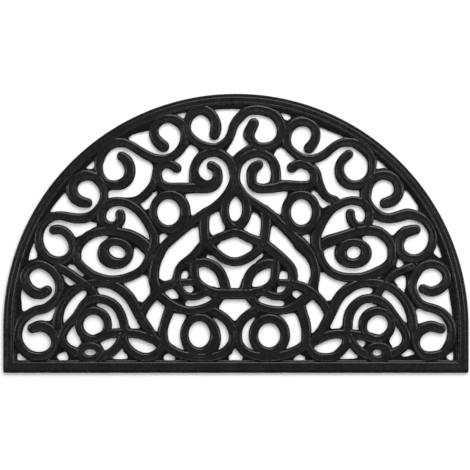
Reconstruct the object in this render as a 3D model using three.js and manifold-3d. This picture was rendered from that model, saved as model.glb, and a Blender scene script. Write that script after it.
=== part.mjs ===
// Half round scrollwork doormat: one flat rubber moulding, open between its strands.
// Millimetres, Z up. The mat lies on z = 0. The tables below measure it from the middle of its straight
// edge, and the finished mesh is moved so that the group's origin is under the middle of the mat.
import * as THREE from "three";
import { mergeVertices } from "three/addons/utils/BufferGeometryUtils.js";
import Module from "manifold-3d";

const wasm = await Module();
wasm.setup();

// Driving sizes
const RADIUS = 375; // of the half round outer edge
const STRAIGHT = 75; // height of the straight sides below the half round
const HEIGHT = 8; // the mat's full thickness, at the strands' flat tops
const TOP_IN = 1.6; // how far the flat top stands in from the strand's foot, for its leaning side
const NARROW_TOP_IN = 0.7; // and at most this share of the half width, where a round end narrows it
const RING_STEPS = 16; // sides of a ring
const TIP_ANGLES = [15, 52.5]; // degrees round a strand's free end at which it has a section
const CHORD_ERROR = 0.95; // the most that a chord may leave the true curve
const CURVE_SAMPLES = 6; // samples of a route between two of its stations
const RIM_ARC_STEP = 6; // degrees along the half round rim
const LOW_WEB = 4.5; // height of the films where strands meet the rim
const WEB = 6; // height of the films in the corners between strands

// The rim's moulded section, from the outer edge inwards: how far in, and how high.
// Past the bar the rest of the rim's width is a lower ledge, to which the strands run.
const RIM_SECTION = [
  { inset: 0.8, height: 4.8 },
  { inset: 5, height: 5 },
  { inset: 6.2, height: HEIGHT },
  { inset: 16.6, height: HEIGHT },
  { inset: 18.8, height: 5 },
];
const LEDGE_HEIGHT = 5;
const LEDGE_LEAN = 0.6; // how far the ledge's inner edge leans in
const FOOT_WIDTH = 19.6; // the rim along the straight edge
const SIDE_WIDTH = { left: 22.5, right: 24.5 }; // the rim up the straight sides
const SIDE_TOP = 33; // from here up the sides widen towards the half round
const CORNER = 2.4; // bevel of the two square corners

// Width of the half round rim, by the angle round it from the right-hand end.
const RIM_WIDTHS = [
  { angle: 0, width: 25 },
  { angle: 8, width: 27 },
  { angle: 20, width: 24.3 },
  { angle: 33, width: 23 },
  { angle: 47, width: 22.1 },
  { angle: 60, width: 23.7 },
  { angle: 65, width: 26.4 },
  { angle: 75, width: 23.3 },
  { angle: 90, width: 24.7 },
  { angle: 97, width: 24.1 },
  { angle: 106, width: 20.1 },
  { angle: 110, width: 25 },
  { angle: 114, width: 29 },
  { angle: 118.5, width: 24 },
  { angle: 130, width: 22.9 },
  { angle: 142, width: 24.4 },
  { angle: 148, width: 22.5 },
  { angle: 160, width: 22.2 },
  { angle: 162, width: 23.6 },
  { angle: 171, width: 24.6 },
  { angle: 176, width: 29.2 },
  { angle: 180, width: 29.5 },
];

// A strand's row: its name, how its two ends are finished, and its stations along the route, as
// [x, y] or [x, y, width]. A "tip" is a round free end, and an "in" end runs into what it joins.
// Widths ease from one that is given to the next. The left and right halves are as uneven as the mat.
const strand = (name, start, end, stations) => ({ name, start, end, stations });

const SCROLLS = [
  strand("scroll_low_left", "tip", "tip", [
    [-328, 72, 15.5], [-315, 75.7, 17.5], [-302, 71.5], [-293, 61], [-290.5, 50], [-295, 37, 13.5],
    [-306, 28.5], [-320, 26.5], [-334, 30], [-346, 41], [-352, 55], [-351, 70], [-345, 84], [-334.5, 94],
    [-321.5, 100.8], [-307.5, 104, 14.3], [-296, 112], [-288, 121], [-284, 134], [-284.5, 146],
    [-291, 159], [-302, 170], [-317, 175.5, 13.5], [-331, 171], [-340, 161], [-340.5, 148], [-334, 136],
    [-324, 128.8, 17.5], [-313, 127.8], [-304.5, 132.8, 15],
  ]),
  strand("scroll_low_right", "tip", "tip", [
    [330, 71.3, 15.5], [315, 75.3, 16.5], [302, 71.5, 16.5], [292.5, 62, 15], [289.5, 50, 13.5],
    [292.8, 37.3], [304.5, 28.2], [318, 27.5], [332, 31, 13.5], [342.3, 42.5, 14.5], [347.7, 56, 14.5],
    [348, 70, 13.7], [344.5, 82.5], [334.5, 95.6], [321, 103], [308, 106.5], [297, 112, 13.5],
    [288.5, 122, 15], [283.5, 135, 15.5], [284, 147], [289.6, 159.5, 15.5], [300, 171, 13.7],
    [315, 176], [329, 172], [338.5, 162], [340, 150, 13.5], [334.5, 140, 14.5], [325, 133.5, 15],
    [314, 131, 15], [302, 135.5, 14],
  ]),
  strand("scroll_mid_left", "tip", "tip", [
    [-293.5, 230.5, 14.5], [-286, 231.3], [-277, 228.3], [-268, 219.5], [-263.5, 209, 13.3],
    [-263, 197], [-269, 187], [-279, 181.5], [-291, 181], [-303, 186], [-313, 198], [-317.7, 212],
    [-317, 226], [-311, 239], [-300, 249.5], [-286, 253.5, 13.3], [-273, 252], [-260, 249.3, 15.5],
    [-247, 249.2, 15.5], [-234, 253, 14.5], [-222.5, 262.5], [-215, 274.5], [-212.3, 287, 12.5],
    [-214.5, 299], [-221, 310], [-231.5, 317.5, 16], [-243, 319, 17.5], [-255, 314.5],
    [-263, 304.5, 17], [-264.3, 292, 17.5], [-258.5, 281.3, 18], [-248.5, 275.5, 17], [-239.3, 274, 14.5],
  ]),
  strand("scroll_mid_right", "tip", "tip", [
    [290, 231, 15], [282, 229.5, 17], [271.3, 225.7, 18], [264.5, 217, 18], [262.5, 206, 15],
    [264.5, 195.5, 16], [271.5, 188, 16], [281.5, 184.3, 14], [293.5, 184.8, 13], [305, 190.8],
    [312.8, 200], [317, 211.5], [317.3, 223.5], [312.5, 236, 13], [303.5, 246.5, 13.5], [291, 253.5, 15],
    [276, 256, 17.5], [262, 252, 17], [248, 249.3, 15.5], [236, 251, 15.5], [224, 258.5, 16],
    [214.5, 268], [209.3, 279, 17.5], [209.3, 291, 18.5], [213.5, 303.5, 17], [221.5, 313.5, 16],
    [233, 319, 15], [245.5, 318.2], [256.8, 312, 15], [262, 301.5, 15], [262.3, 290, 16], [256.5, 281],
    [248.5, 276, 17.5], [240.3, 273.8, 16],
  ]),
  strand("scroll_high_left", "tip", "tip", [
    [-184, 349, 15], [-176.5, 342.5, 17], [-171.7, 333, 17], [-171, 322, 16.5], [-175.5, 311],
    [-185, 304.3, 16.5], [-197, 302.8, 14], [-210, 306.5], [-218.7, 318, 12.5], [-221.5, 332, 12.5],
    [-219, 347, 15], [-211.5, 360], [-200, 369], [-186, 371.8, 15], [-172, 368, 13], [-157.6, 359.8],
    [-143.5, 350.8], [-130, 345.6, 14.3], [-116, 344.5], [-102, 349, 13], [-90, 359.5], [-83, 373],
    [-82, 387, 14.5], [-87, 400, 16], [-98.5, 408.3, 15.5], [-111, 410.5, 13.5], [-123, 406],
    [-131, 396, 13.5], [-132, 384, 15], [-126, 373, 17.5], [-117, 365.3, 18],
  ]),
  strand("scroll_high_right", "tip", "tip", [
    [181.8, 352.3, 14], [174.3, 346, 14], [168, 336.5, 13.7], [166.7, 325, 14.7], [170, 314.5, 16],
    [177.5, 306.5, 16], [187, 302.8, 15], [198.3, 303.5, 14], [209, 309, 13], [217, 319, 13],
    [219.5, 332, 12.8], [219, 345, 15], [211.5, 356.5, 16.5], [202, 365, 17], [190.5, 371, 14.5],
    [179, 372.3, 14.5], [167, 370, 13], [155, 362.5, 12.7], [144.3, 353.2, 13.5], [132, 346.8],
    [120, 344.3, 13.5], [108, 346, 13], [97.5, 352, 12.5], [88.3, 359.7, 12.5], [82, 370, 14],
    [81.5, 383, 15.5], [86, 394.5], [95, 402.5], [107, 405.5, 15.5], [119, 402.5, 14], [127, 394, 13.5],
    [129, 382.5], [125.5, 372, 15], [118, 362.5, 16.5],
  ]),
  strand("top_pair", "tip", "tip", [
    [-34.7, 384, 16], [-32.3, 394, 17.5], [-32.8, 403, 16.5], [-37, 412.5, 16], [-45, 421, 16.5],
    [-56, 425], [-67, 421.5, 16.5], [-75.3, 411.5, 13], [-79.7, 398, 13], [-77.5, 386, 14],
    [-70, 377], [-60, 369.5], [-48, 364.5], [-36, 362.5, 14], [-25, 366, 13], [-14, 374.5],
    [-7.5, 386, 13], [-3.8, 398, 13.5], [2, 407.5, 14.5], [11, 416.7], [20, 422.8, 14.5],
    [34, 424.3, 15.5], [50, 421.5, 16], [63, 415], [71, 404, 16], [74, 391, 15], [71, 378, 14.5],
    [60, 367.3, 14], [46, 363.5, 15], [34, 365.5, 14.5], [26, 374, 13], [21, 384, 18], [28.5, 402, 16.5],
  ]),
];

const HEART = [
  strand("heart_left", "in", "in", [
    [-67.5, 302, 14], [-68.3, 320], [-65.5, 335], [-58, 347], [-48, 353.5], [-36, 356], [-25, 353.5],
    [-15, 347], [-8, 338], [-4, 327], [-2.5, 316], [-4.5, 305], [-11, 292], [-21, 279], [-35, 266.5],
    [-50, 257.3], [-64.5, 247.5], [-75, 239.5], [-89, 228, 14], [-105, 214.3], [-115.5, 204, 14.5],
    [-124, 190, 16], [-129.8, 176], [-132.3, 163], [-132.3, 150], [-129, 137, 17],
  ]),
  strand("heart_right", "in", "in", [
    [64.5, 302, 14], [65, 320, 15], [62.5, 334, 15.5], [56.5, 345, 14.3], [46.5, 352, 14],
    [34, 354.8], [22, 352], [12, 346], [4, 337], [0.5, 327], [-0.5, 318, 14], [0.7, 306.5, 13.5],
    [4.8, 297.5], [11.6, 288], [21, 279.3], [30.6, 273, 13.5], [42, 265.5, 14], [56, 255.5, 14.5],
    [68.6, 243], [78, 234], [87, 225.5, 15.5], [95.5, 216.5, 17], [104, 207.8, 22], [113.5, 197.5, 20],
    [120.5, 188.5, 17], [125.7, 177, 14.5], [128.2, 165], [127.8, 155, 14.5], [125.8, 147, 16],
    [124, 136, 16.5],
  ]),
  strand("crown_tie", "in", "in", [[0.5, 343, 15], [10.5, 352], [21, 359], [33, 364, 15]]),
  strand("hook_left", "tip", "tip", [
    [-95.5, 330, 15], [-103, 335, 14], [-111, 337.3, 13.5], [-119, 335], [-125, 328, 13.5],
    [-127, 318, 14.7], [-124, 308], [-116, 301.5, 14.7], [-105, 299.5, 13.5], [-90, 299, 15],
    [-75, 298.5], [-60, 298], [-50, 298.2, 16.5], [-41, 299.5], [-33.5, 304], [-29.5, 311, 15],
    [-28.7, 318], [-30, 325], [-34, 330.7], [-39.7, 334, 14],
  ]),
  strand("hook_right", "tip", "tip", [
    [90.5, 331, 16], [97, 335.5, 14.5], [104.5, 337, 14], [112.5, 335, 13.5], [120.7, 330, 12.5],
    [125.8, 320.3, 12.5], [125.3, 309.5, 13], [119, 303.5, 13.5], [110, 301.5, 15], [98, 301.3, 16.5],
    [86, 301.5, 17.5], [74, 301.5, 17.5], [62, 298.5, 15], [50, 297.5, 14.7], [40, 297.3, 15.2],
    [30.5, 300.2, 15.5], [25.8, 306.3, 15.5], [25.2, 316, 15], [26, 324, 17], [30, 331, 17],
    [36.5, 335.5, 14.5],
  ]),
  strand("hook_link_left", "in", "in", [
    [-127, 325, 13.5], [-129.5, 313], [-134, 301.5], [-141.8, 291.8], [-151, 283], [-163, 276, 13.5],
  ]),
  strand("hook_link_right", "in", "in", [
    [124, 329, 15.5], [129, 322], [132, 311], [135.3, 300.5, 14.5], [140.3, 290.2, 13.5],
    [148, 282, 13], [159, 276, 13],
  ]),
];

const BROWS = [
  strand("brow_left", "tip", "in", [
    [-186.5, 256, 14.5], [-185.8, 248, 15], [-190, 240, 14.5], [-199, 236], [-210, 239],
    [-216.5, 248], [-216, 259], [-210, 269], [-200, 275, 14.5], [-188, 276.2, 13.5], [-176, 273.7],
    [-164, 267], [-153, 257], [-144.5, 245.5, 13.5], [-137, 232.5, 13.5], [-131.8, 219, 15],
    [-132.5, 206, 15.5], [-137, 194, 15.5],
  ]),
  strand("brow_right", "tip", "in", [
    [184.5, 257, 14], [185.5, 248, 14.3], [189.3, 241], [196.5, 236], [207, 237, 14.3],
    [213.8, 244.5], [215.8, 255.5, 14], [212.5, 266], [204.5, 274], [194, 277.3, 13.5],
    [182, 277.3, 12.7], [170.5, 273.5], [159, 267, 13], [149.3, 257.3, 13], [141.5, 246, 13.5],
    [135, 234, 14.5], [128.8, 220.5, 17.5], [128.8, 208, 17.5], [134.5, 195, 16],
  ]),
  strand("leaf_low_left", "in", "in", [
    [-137, 196, 13.5], [-141, 183], [-147, 171.5], [-157, 162], [-168, 156.3], [-180, 152.3],
    [-192, 150.3], [-205, 150], [-218, 153], [-230, 157.3], [-240, 164], [-249, 171.5], [-256, 181],
    [-257, 190], [-256.5, 196, 13.5],
  ]),
  strand("leaf_low_right", "in", "in", [
    [134, 197, 13], [136, 187], [140.5, 176.5, 13.5], [147, 167.8], [155.5, 161], [165, 156.5],
    [177, 153.8], [190, 153.3, 14], [205, 154.3, 14.5], [217, 158], [229, 163, 15.5],
    [240, 169, 15.5], [248, 176.5, 15], [252, 187, 13.5],
  ]),
  strand("leaf_high_left", "in", "in", [
    [-257, 188, 13.5], [-256.5, 196], [-252.5, 206, 14], [-245.5, 215, 14.5], [-236, 222],
    [-225, 226.5, 14.3], [-212, 228.3, 13.7], [-199, 228, 14], [-186, 226, 15.5], [-172, 221.8, 18],
    [-160, 215.6], [-150, 208, 20.5], [-140, 198.5, 20.5],
  ]),
  strand("leaf_high_right", "in", "in", [
    [252, 182, 13.5], [252, 194], [250.5, 205.5, 14], [245, 215.2], [237.3, 222.5, 16],
    [227, 228.5, 16.5], [213, 230, 17], [200, 229, 16], [188, 225.5], [175, 221, 16.5],
    [163, 216.5, 18.5], [150.5, 212.5, 19], [136.5, 205, 17],
  ]),
  strand("leaf_link_left", "in", "in", [
    [-288, 172.5, 13.5], [-276.5, 165.7], [-265.5, 158.5], [-256.5, 152], [-246, 146.5, 13.5],
  ]),
  strand("leaf_link_right", "in", "in", [[284, 172, 13], [268, 163.5], [258, 159], [243, 154, 13]]),
];

const ARCHES = [
  strand("arch_outer_left", "in", "in", [
    [-287, 64, 18], [-287, 80, 17], [-286, 92, 15], [-282.5, 104, 13.5], [-276, 116], [-267, 127],
    [-256, 136], [-243, 142], [-228, 145], [-214, 145, 13.5],
  ]),
  strand("arch_outer_right", "in", "in", [
    [286, 62, 16.5], [285, 72], [284.3, 83, 16], [282.3, 95.8, 15.7], [277.2, 108.5, 14.7],
    [268.8, 121, 13.5], [259.3, 131], [249.5, 137.8], [238, 142.3], [226, 145], [212.5, 145.5, 13.5],
  ]),
  strand("arch_inner_left", "in", "in", [
    [-216, 145, 13.5], [-203, 143], [-190, 137.5], [-178.5, 129, 16], [-169, 118], [-162, 106],
    [-156, 94], [-150.5, 83.5, 15.5], [-144, 74], [-137, 63.5], [-130, 54, 14], [-121, 45, 14],
  ]),
  strand("arch_inner_right", "in", "in", [
    [216, 145.5, 14], [203, 144.5], [190, 140.5, 15], [180, 134.5, 16.3], [171, 127], [163.5, 117],
    [157.5, 105.5], [152, 94], [145.5, 80.5, 15.8], [138.5, 69, 14.5], [130, 57.5], [121, 47, 14],
  ]),
  strand("bell_left", "in", "in", [
    [-249, 29, 13.5], [-259, 34.2], [-269, 38.5], [-277, 46], [-280.3, 56], [-277.5, 66],
    [-272, 75], [-264, 83.5], [-257.5, 91], [-251.5, 101], [-245, 110.5], [-238, 116.5],
    [-229, 119.5], [-219, 119.5], [-209, 117], [-199, 112], [-191, 104.5], [-186, 96], [-182.5, 86],
    [-180, 76], [-180.5, 66, 13.5], [-183.5, 55.5, 14.3], [-188.5, 46], [-195.5, 37.5], [-204, 31],
    [-216, 26.5], [-228, 23.5, 14],
  ]),
  strand("bell_right", "in", "in", [
    [240, 27, 13.5], [250, 31], [260, 35], [268, 39.5], [273.5, 47], [275.2, 57], [272.5, 67],
    [266.5, 77], [260, 86], [254, 94], [248.2, 102.5], [242, 109.7], [235, 115], [227, 119],
    [217, 120], [208, 119], [199, 115, 13.7], [190.5, 107.3, 15], [184.3, 98, 15.5], [181, 87],
    [180.2, 76, 15.5], [179.7, 66, 14], [181.5, 58], [186, 50, 14.3], [192, 42], [199, 35.5],
    [207, 31], [222, 25.5, 14],
  ]),
  strand("arch_tie_left", "in", "in", [[-234, 143, 14], [-232, 131], [-232, 118, 14]]),
  strand("arch_tie_right", "in", "in", [[229.5, 144, 15], [228.8, 131], [227.5, 118, 15.5]]),
  strand("cross_left", "in", "in", [
    [-224, 55, 14], [-212, 60], [-200, 63.5], [-186, 64.5], [-170, 63.5], [-158, 62.5],
    [-147, 59.5], [-137, 55.5], [-124, 49.5, 14],
  ]),
  strand("cross_right", "in", "in", [
    [226, 54, 16], [212, 58], [200, 60.5, 15], [186, 61.8, 15], [170, 63, 15], [158, 62.7, 14.5],
    [147, 60.5], [137, 56], [126, 50.5, 14],
  ]),
  strand("cradle_left", "in", "in", [
    [-182, 62, 13.5], [-179.5, 48], [-172, 37.5], [-162.5, 30], [-150, 25.3], [-140, 25.3],
    [-130.5, 29], [-121.5, 36.5], [-116.5, 46, 13.5],
  ]),
  strand("cradle_right", "in", "in", [
    [178, 64, 13.5], [178.8, 55], [176.5, 44], [170, 35], [161.5, 28.2], [151, 24.8], [140, 24.8],
    [131, 26.5], [123, 31.5], [117.5, 38], [114, 47, 13.5],
  ]),
];

const BASE = [
  strand("fan_left", "in", "in", [
    [-130, 131, 15.5], [-119, 121], [-109, 113], [-99, 107, 15], [-88, 103, 13.5], [-75, 99.8],
    [-62, 101], [-50, 104.3], [-40, 109], [-31, 116], [-25, 127, 14.5],
  ]),
  strand("fan_right", "in", "in", [
    [124, 130.5, 17], [113.5, 121.5, 17], [103, 113, 16.5], [91, 105.5, 14], [77, 101.3, 12.5],
    [62, 101], [48.5, 103.5], [37, 107.5, 13], [24.5, 119, 15],
  ]),
  strand("bowl_left", "in", "in", [
    [-105, 108, 16], [-109.3, 96, 16], [-113.7, 84, 15], [-117, 72, 14], [-117, 58], [-113.5, 45.5],
    [-103, 37], [-90, 30.5], [-75, 27], [-60, 25], [-45, 25], [-32, 27], [-20.5, 32], [-11, 40],
    [-5, 50], [-3.5, 61], [-7.5, 74.5], [-15.5, 85.5], [-27, 94], [-40, 101.5, 14.5],
  ]),
  strand("bowl_right", "in", "in", [
    [104.5, 106, 16], [107.3, 95, 16.5], [111.3, 83, 16.5], [113.5, 70, 15.5], [113.5, 58, 15],
    [112, 47], [104, 39.5], [92, 33.8], [79, 29.3], [64, 26.3], [50, 25], [36, 26.5], [22, 30.5],
    [11.5, 37], [4, 48], [2, 61], [4.3, 74.3], [11, 85.5], [21, 94], [32.5, 101, 14.5],
  ]),
  strand("bar", "in", "in", [[-33, 127.5, 17.2], [-12, 127.5], [10, 127.5], [32, 127.5, 17.2]]),
];

const KNOTS = [
  strand("knot_outer_left", "in", "in", [
    [-153, 92, 13.5], [-146, 106], [-137, 118], [-126, 130], [-113, 139.5], [-98, 144, 13.5],
    [-82, 146, 11], [-66, 146.5, 10.5],
  ]),
  strand("knot_outer_right", "in", "in", [
    [151, 91, 13.8], [147, 101], [140.5, 111.5], [132, 121.5], [122, 130.5], [111, 137, 14.5],
    [99, 141.5, 14], [85, 144.8, 11], [70, 145.3, 10.5],
  ]),
  strand("knot_inner_left", "in", "in", [
    [-46, 212, 14], [-57, 202], [-66, 191], [-75, 182.5, 14], [-86, 174.5, 13], [-92.7, 165],
    [-95, 154, 11.7], [-94, 143], [-89, 132], [-81.5, 125], [-71, 122.8], [-60, 124.5],
    [-50, 129.5], [-37, 132.5, 11.7],
  ]),
  strand("knot_inner_right", "in", "in", [
    [45, 208, 17], [55.5, 199.3, 18], [65, 191.8, 17.5], [73.8, 184.3, 17], [82.7, 175.7, 16.5],
    [89.8, 166, 16], [92, 155, 15.5], [90, 144, 12.5], [86, 133.5, 12], [79, 126], [69, 123],
    [58, 124.5], [48, 129], [36, 132, 12],
  ]),
  strand("petal_outer_left", "in", "in", [
    [-68, 174, 14], [-58, 177.5], [-48, 177.8], [-40, 175], [-32, 169.5], [-25, 161],
    [-20.5, 151.5], [-18, 143], [-16, 130, 16],
  ]),
  strand("petal_outer_right", "in", "in", [
    [64, 175.5, 15], [50, 176.5, 15.5], [40, 173], [30, 166.5], [22.3, 157, 15.5], [18.5, 148],
    [16.7, 140, 16.5], [14, 130, 16.5],
  ]),
  strand("petal_inner_left", "in", "in", [
    [-67, 182, 14], [-67.3, 165], [-65.8, 153], [-60, 143.5], [-51, 136.5], [-40, 131.5], [-28, 128, 14],
  ]),
  strand("petal_inner_right", "in", "in", [
    [63.5, 182, 13.5], [63.3, 165], [62.5, 154], [58.5, 144.5], [50.5, 137], [39.5, 132.4],
    [27, 130, 13.5],
  ]),
];

const EYE = [
  strand("post_left", "in", "in", [[-49, 262, 16], [-51, 248], [-51.5, 232], [-50.5, 218], [-47, 205, 16]]),
  strand("post_right", "in", "in", [
    [46.5, 262, 16], [48.5, 249], [48.7, 237], [47.3, 226], [45.5, 214], [44, 205, 16],
  ]),
  strand("eye_high", "in", "in", [
    [-48, 209, 13.5], [-37, 213.3], [-25.3, 218.8], [-12, 223.8], [0, 226.3, 13.5], [10, 223.5, 14.5],
    [18, 219], [27, 215], [37, 211.5], [46, 208, 14.5],
  ]),
  strand("eye_low", "in", "in", [
    [-49, 211, 13.5], [-40, 201.5], [-30, 192], [-20, 184.5], [-10, 180], [-1, 179, 13.5],
    [9, 180.7, 14], [18, 184.5], [27, 190], [35, 196.5], [44, 205, 14],
  ]),
  strand("lens_left", "in", "in", [
    [3, 297, 13.5], [-8, 288], [-15.5, 277.5], [-18.2, 264], [-17.3, 252.5], [-13.5, 243],
    [-7, 235.5], [2, 229, 13.5],
  ]),
  strand("lens_right", "in", "in", [
    [-1.4, 297, 15], [8.6, 287.5], [15.6, 277.5], [17.9, 266], [16.6, 254], [11.6, 243.5],
    [5.1, 236.5], [-4.4, 230, 15],
  ]),
];

// A ring's row: its outer ellipse and its hole, each a centre, two half axes and a tilt in degrees.
const ellipse = (x, y, halfX, halfY, tilt = 0) => ({ x, y, halfX, halfY, tilt });
const RINGS = [
  { outer: ellipse(-229.7, 77.5, 29.3, 29.5), hole: ellipse(-229.7, 77.5, 16.8, 16.8) },
  { outer: ellipse(228, 77.4, 30.6, 29.5), hole: ellipse(228.2, 76.8, 18, 15.8, 35) },
  { outer: ellipse(-235, 33, 22.5, 17), hole: ellipse(-235, 33, 9.7, 5.3) },
  { outer: ellipse(229, 33, 23, 17), hole: ellipse(227.9, 32.5, 7.9, 5.4) },
  { outer: ellipse(-56.8, 59, 32.5, 37, 12), hole: ellipse(-59, 62, 17.8, 21.6) },
  { outer: ellipse(54, 61, 33, 35), hole: ellipse(53.7, 60.5, 18.3, 20.1) },
  { outer: ellipse(-194.3, 193, 28.7, 25.3), hole: ellipse(-191.3, 195.2, 14.2, 9.8, -22) },
  { outer: ellipse(188, 193, 31.3, 24), hole: ellipse(190, 194.2, 11.7, 10, 20) },
  { outer: ellipse(-106.3, 259.5, 33, 35), hole: ellipse(-108.6, 259.2, 18.8, 21.4) },
  { outer: ellipse(105, 258.5, 31.5, 36), hole: ellipse(105.6, 259.4, 17.4, 21.2) },
];

// Films left by the mould in the sharp corners. A row is one film: its free edge, then two to four
// points that lie inside the strands it joins.
const RIM_WEBS = [
  [[-276, 34], [-286, 30], [-289.3, 25.5], [-284, 21], [-300, 18], [-296, 35], [-284, 48]],
  [[-273.5, 31], [-269.8, 25.5], [-272, 20], [-248, 16], [-246, 32], [-262, 33]],
  [[-105, 33], [-114, 29], [-117.5, 24], [-114, 20], [-135, 18], [-128, 26], [-118, 38]],
  [[-4, 33], [-12.5, 26], [-12.5, 23], [-9, 21.7], [0, 21.7], [0, 18], [-30, 18], [-22, 28], [-12, 36]],
  [[4, 34], [12.8, 24.5], [8, 21.7], [0, 21.7], [0, 18], [30, 18], [22, 28], [12, 36]],
  [[104, 28.7], [111, 26], [111.5, 20.5], [128, 18], [120, 34], [108, 36]],
  [[172, 29], [168.6, 24], [170, 22.5], [195, 23.3], [198, 18], [155, 18], [160, 30]],
  [[189, 33.5], [197.5, 26.5], [197, 24], [192, 23], [192, 18], [225, 18], [215, 28], [200, 36]],
  [[256, 18], [266, 30], [269, 26.2], [276, 26.8], [284, 29.8], [288.5, 29.3], [294, 34], [302, 18]],
  [[-326.2, 205.6], [-321.2, 195.6], [-320.6, 185.4], [-333.5, 182], [-336, 178], [-300, 178],
    [-310, 190], [-320, 205]],
  [[324, 204.5], [318, 194], [329, 185], [330.5, 187], [332, 180], [300, 182], [306, 190], [316, 204]],
];
const LOWER_WEBS = [
  [[-279, 158], [-276, 148], [-268, 140.3], [-259.5, 143], [-252, 140], [-270, 124], [-282, 120],
    [-284, 150]],
  [[-89, 158], [-85, 164], [-79, 165], [-76, 158], [-80, 151.5], [-70, 150], [-68, 172], [-84, 176],
    [-93, 165]],
  [[-103, 120], [-93.5, 119.7], [-91.8, 124], [-96.5, 131.5], [-102, 135.5], [-88, 135], [-82, 118],
    [-96, 112]],
  [[-100, 118], [-84, 122], [-76, 119], [-82, 112], [-80.5, 107.5], [-95, 104], [-106, 113]],
  [[70, 117], [78, 115], [78, 109], [74, 107], [92, 104], [102, 112], [98, 119], [90, 124], [78, 120]],
  [[28, 106], [38, 103], [50, 97], [62, 96], [48, 92], [38, 90], [32, 88], [24, 98]],
  [[228, 150], [256, 170], [262, 166], [250, 154], [252, 146], [240, 142]],
  [[261, 183], [258.3, 171.5], [263, 168.3], [256, 162], [246, 166], [252, 180], [258, 188]],
  [[268, 157.5], [274.3, 154], [274.3, 138], [270.5, 133.8], [280, 125], [286, 140], [283, 160],
    [275, 166]],
  [[272, 132], [284, 128], [296, 104], [286, 98], [276, 112]],
];
const UPPER_WEBS = [
  [[-236, 242.3], [-225, 242.3], [-224, 236.5], [-233, 232.8], [-222, 228], [-212, 236], [-218, 252],
    [-232, 246]],
  [[-210, 221.8], [-203.7, 219], [-210, 214.5], [-198, 212], [-180, 218], [-190, 226]],
  [[-154, 272], [-146.5, 262.5], [-139.8, 266], [-136, 256], [-138, 248], [-150, 256], [-162, 270]],
  [[-124, 208], [-122.8, 223], [-114, 225.6], [-111, 221], [-106, 224], [-112, 230], [-124, 236],
    [-132, 226], [-128, 208]],
  [[-163, 202.3], [-166.5, 190], [-175, 190], [-190, 214], [-170, 216], [-150, 200]],
  [[-47, 185.5], [-49, 188.5], [-46.5, 191.6], [-38, 187], [-44, 203], [-54, 200], [-66, 184],
    [-56, 180]],
  [[84, 293], [81, 284], [90, 284], [100, 292], [121, 290], [125, 295], [131, 290], [128, 300], [84, 302]],
  [[134.5, 271], [140, 265.3], [149.3, 271], [154, 268], [136, 246]],
  [[24.5, 256], [27, 259], [34, 256.5], [40, 248], [46, 252], [40, 266], [22, 272], [20, 262]],
  [[34, 185.5], [44, 189.3], [43, 193.3], [40, 192], [46, 204], [58, 196], [66, 184], [50, 180],
    [36, 180]],
  [[212, 222.3], [203.3, 219], [205, 215], [196, 214], [180, 217], [196, 228]],
];
const FULL_WEBS = [
  [[-61.5, 327], [-57, 316.5], [-48.5, 310], [-40.5, 311.3], [-36.5, 319], [-33, 312], [-40, 300],
    [-66, 302], [-66, 325]],
];

const ease = (t) => t * t * (3 - 2 * t);

// A closed solid from rows of section points: each row is one cross-section, given clockwise as
// seen from the run's far end, and the rows are joined in order. An open run gets a flat cap at each end.
function loft(rows, closed) {
  const count = rows[0].length;
  const positions = rows.flat().flatMap(([x, y, z]) => [x, y, z]);
  const index = [];
  const joins = closed ? rows.length : rows.length - 1;
  for (let i = 0; i < joins; i++) {
    const here = i * count;
    const next = ((i + 1) % rows.length) * count;
    for (let j = 0; j < count; j++) {
      const k = (j + 1) % count;
      index.push(here + j, next + k, here + k, here + j, next + j, next + k);
    }
  }
  if (!closed) {
    const last = (rows.length - 1) * count;
    for (let j = 1; j < count - 1; j++) {
      index.push(0, j, j + 1);
      index.push(last, last + j + 1, last + j);
    }
  }
  const geometry = new THREE.BufferGeometry();
  geometry.setAttribute("position", new THREE.Float32BufferAttribute(positions, 3));
  geometry.setIndex(index);
  return geometry;
}

function solid(geometry) {
  geometry.deleteAttribute("normal");
  geometry.deleteAttribute("uv");
  const merged = mergeVertices(geometry, 1e-4);
  return new wasm.Manifold(
    new wasm.Mesh({
      numProp: 3,
      vertProperties: merged.attributes.position.array,
      triVerts: new Uint32Array(merged.index.array),
    }),
  );
}

// The widths that a strand's row gives, eased over the samples between them.
function widthsAlong(stations, lengths) {
  const given = stations
    .map((station, i) => ({ at: lengths[i * CURVE_SAMPLES], width: station[2] }))
    .filter((station) => station.width !== undefined);
  return lengths.map((length) => {
    const next = Math.max(1, given.findIndex((station) => station.at >= length));
    const before = given[next - 1];
    const after = given[next];
    const share = (length - before.at) / (after.at - before.at);
    return THREE.MathUtils.lerp(before.width, after.width, ease(share));
  });
}

// A route's samples {x, y, width}, thinned until its chords leave the curve by no more than CHORD_ERROR.
function route(stations) {
  const curve = new THREE.CatmullRomCurve3(
    stations.map(([x, y]) => new THREE.Vector3(x, y, 0)),
    false,
    "centripetal",
  );
  const steps = (stations.length - 1) * CURVE_SAMPLES;
  const points = Array.from({ length: steps + 1 }, (_, i) => curve.getPoint(i / steps));
  const tangents = points.map((_, i) => curve.getTangent(i / steps));
  const lengths = [0];
  for (let i = 1; i <= steps; i++) lengths.push(lengths[i - 1] + points[i].distanceTo(points[i - 1]));
  const widths = widthsAlong(stations, lengths);
  const samples = points.map((point, i) => ({ point, tangent: tangents[i], width: widths[i] }));
  const kept = [samples[0]];
  let from = 0;
  for (let to = 2; to <= steps; to++) {
    const chord = new THREE.Line3(points[from], points[to]);
    const foot = new THREE.Vector3();
    let worst = 0;
    for (let k = from + 1; k < to; k++) {
      chord.closestPointToPoint(points[k], true, foot);
      worst = Math.max(worst, foot.distanceTo(points[k]));
    }
    if (worst > CHORD_ERROR) {
      from = to - 1;
      kept.push(samples[from]);
    }
  }
  kept.push(samples[steps]);
  return kept;
}

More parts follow.
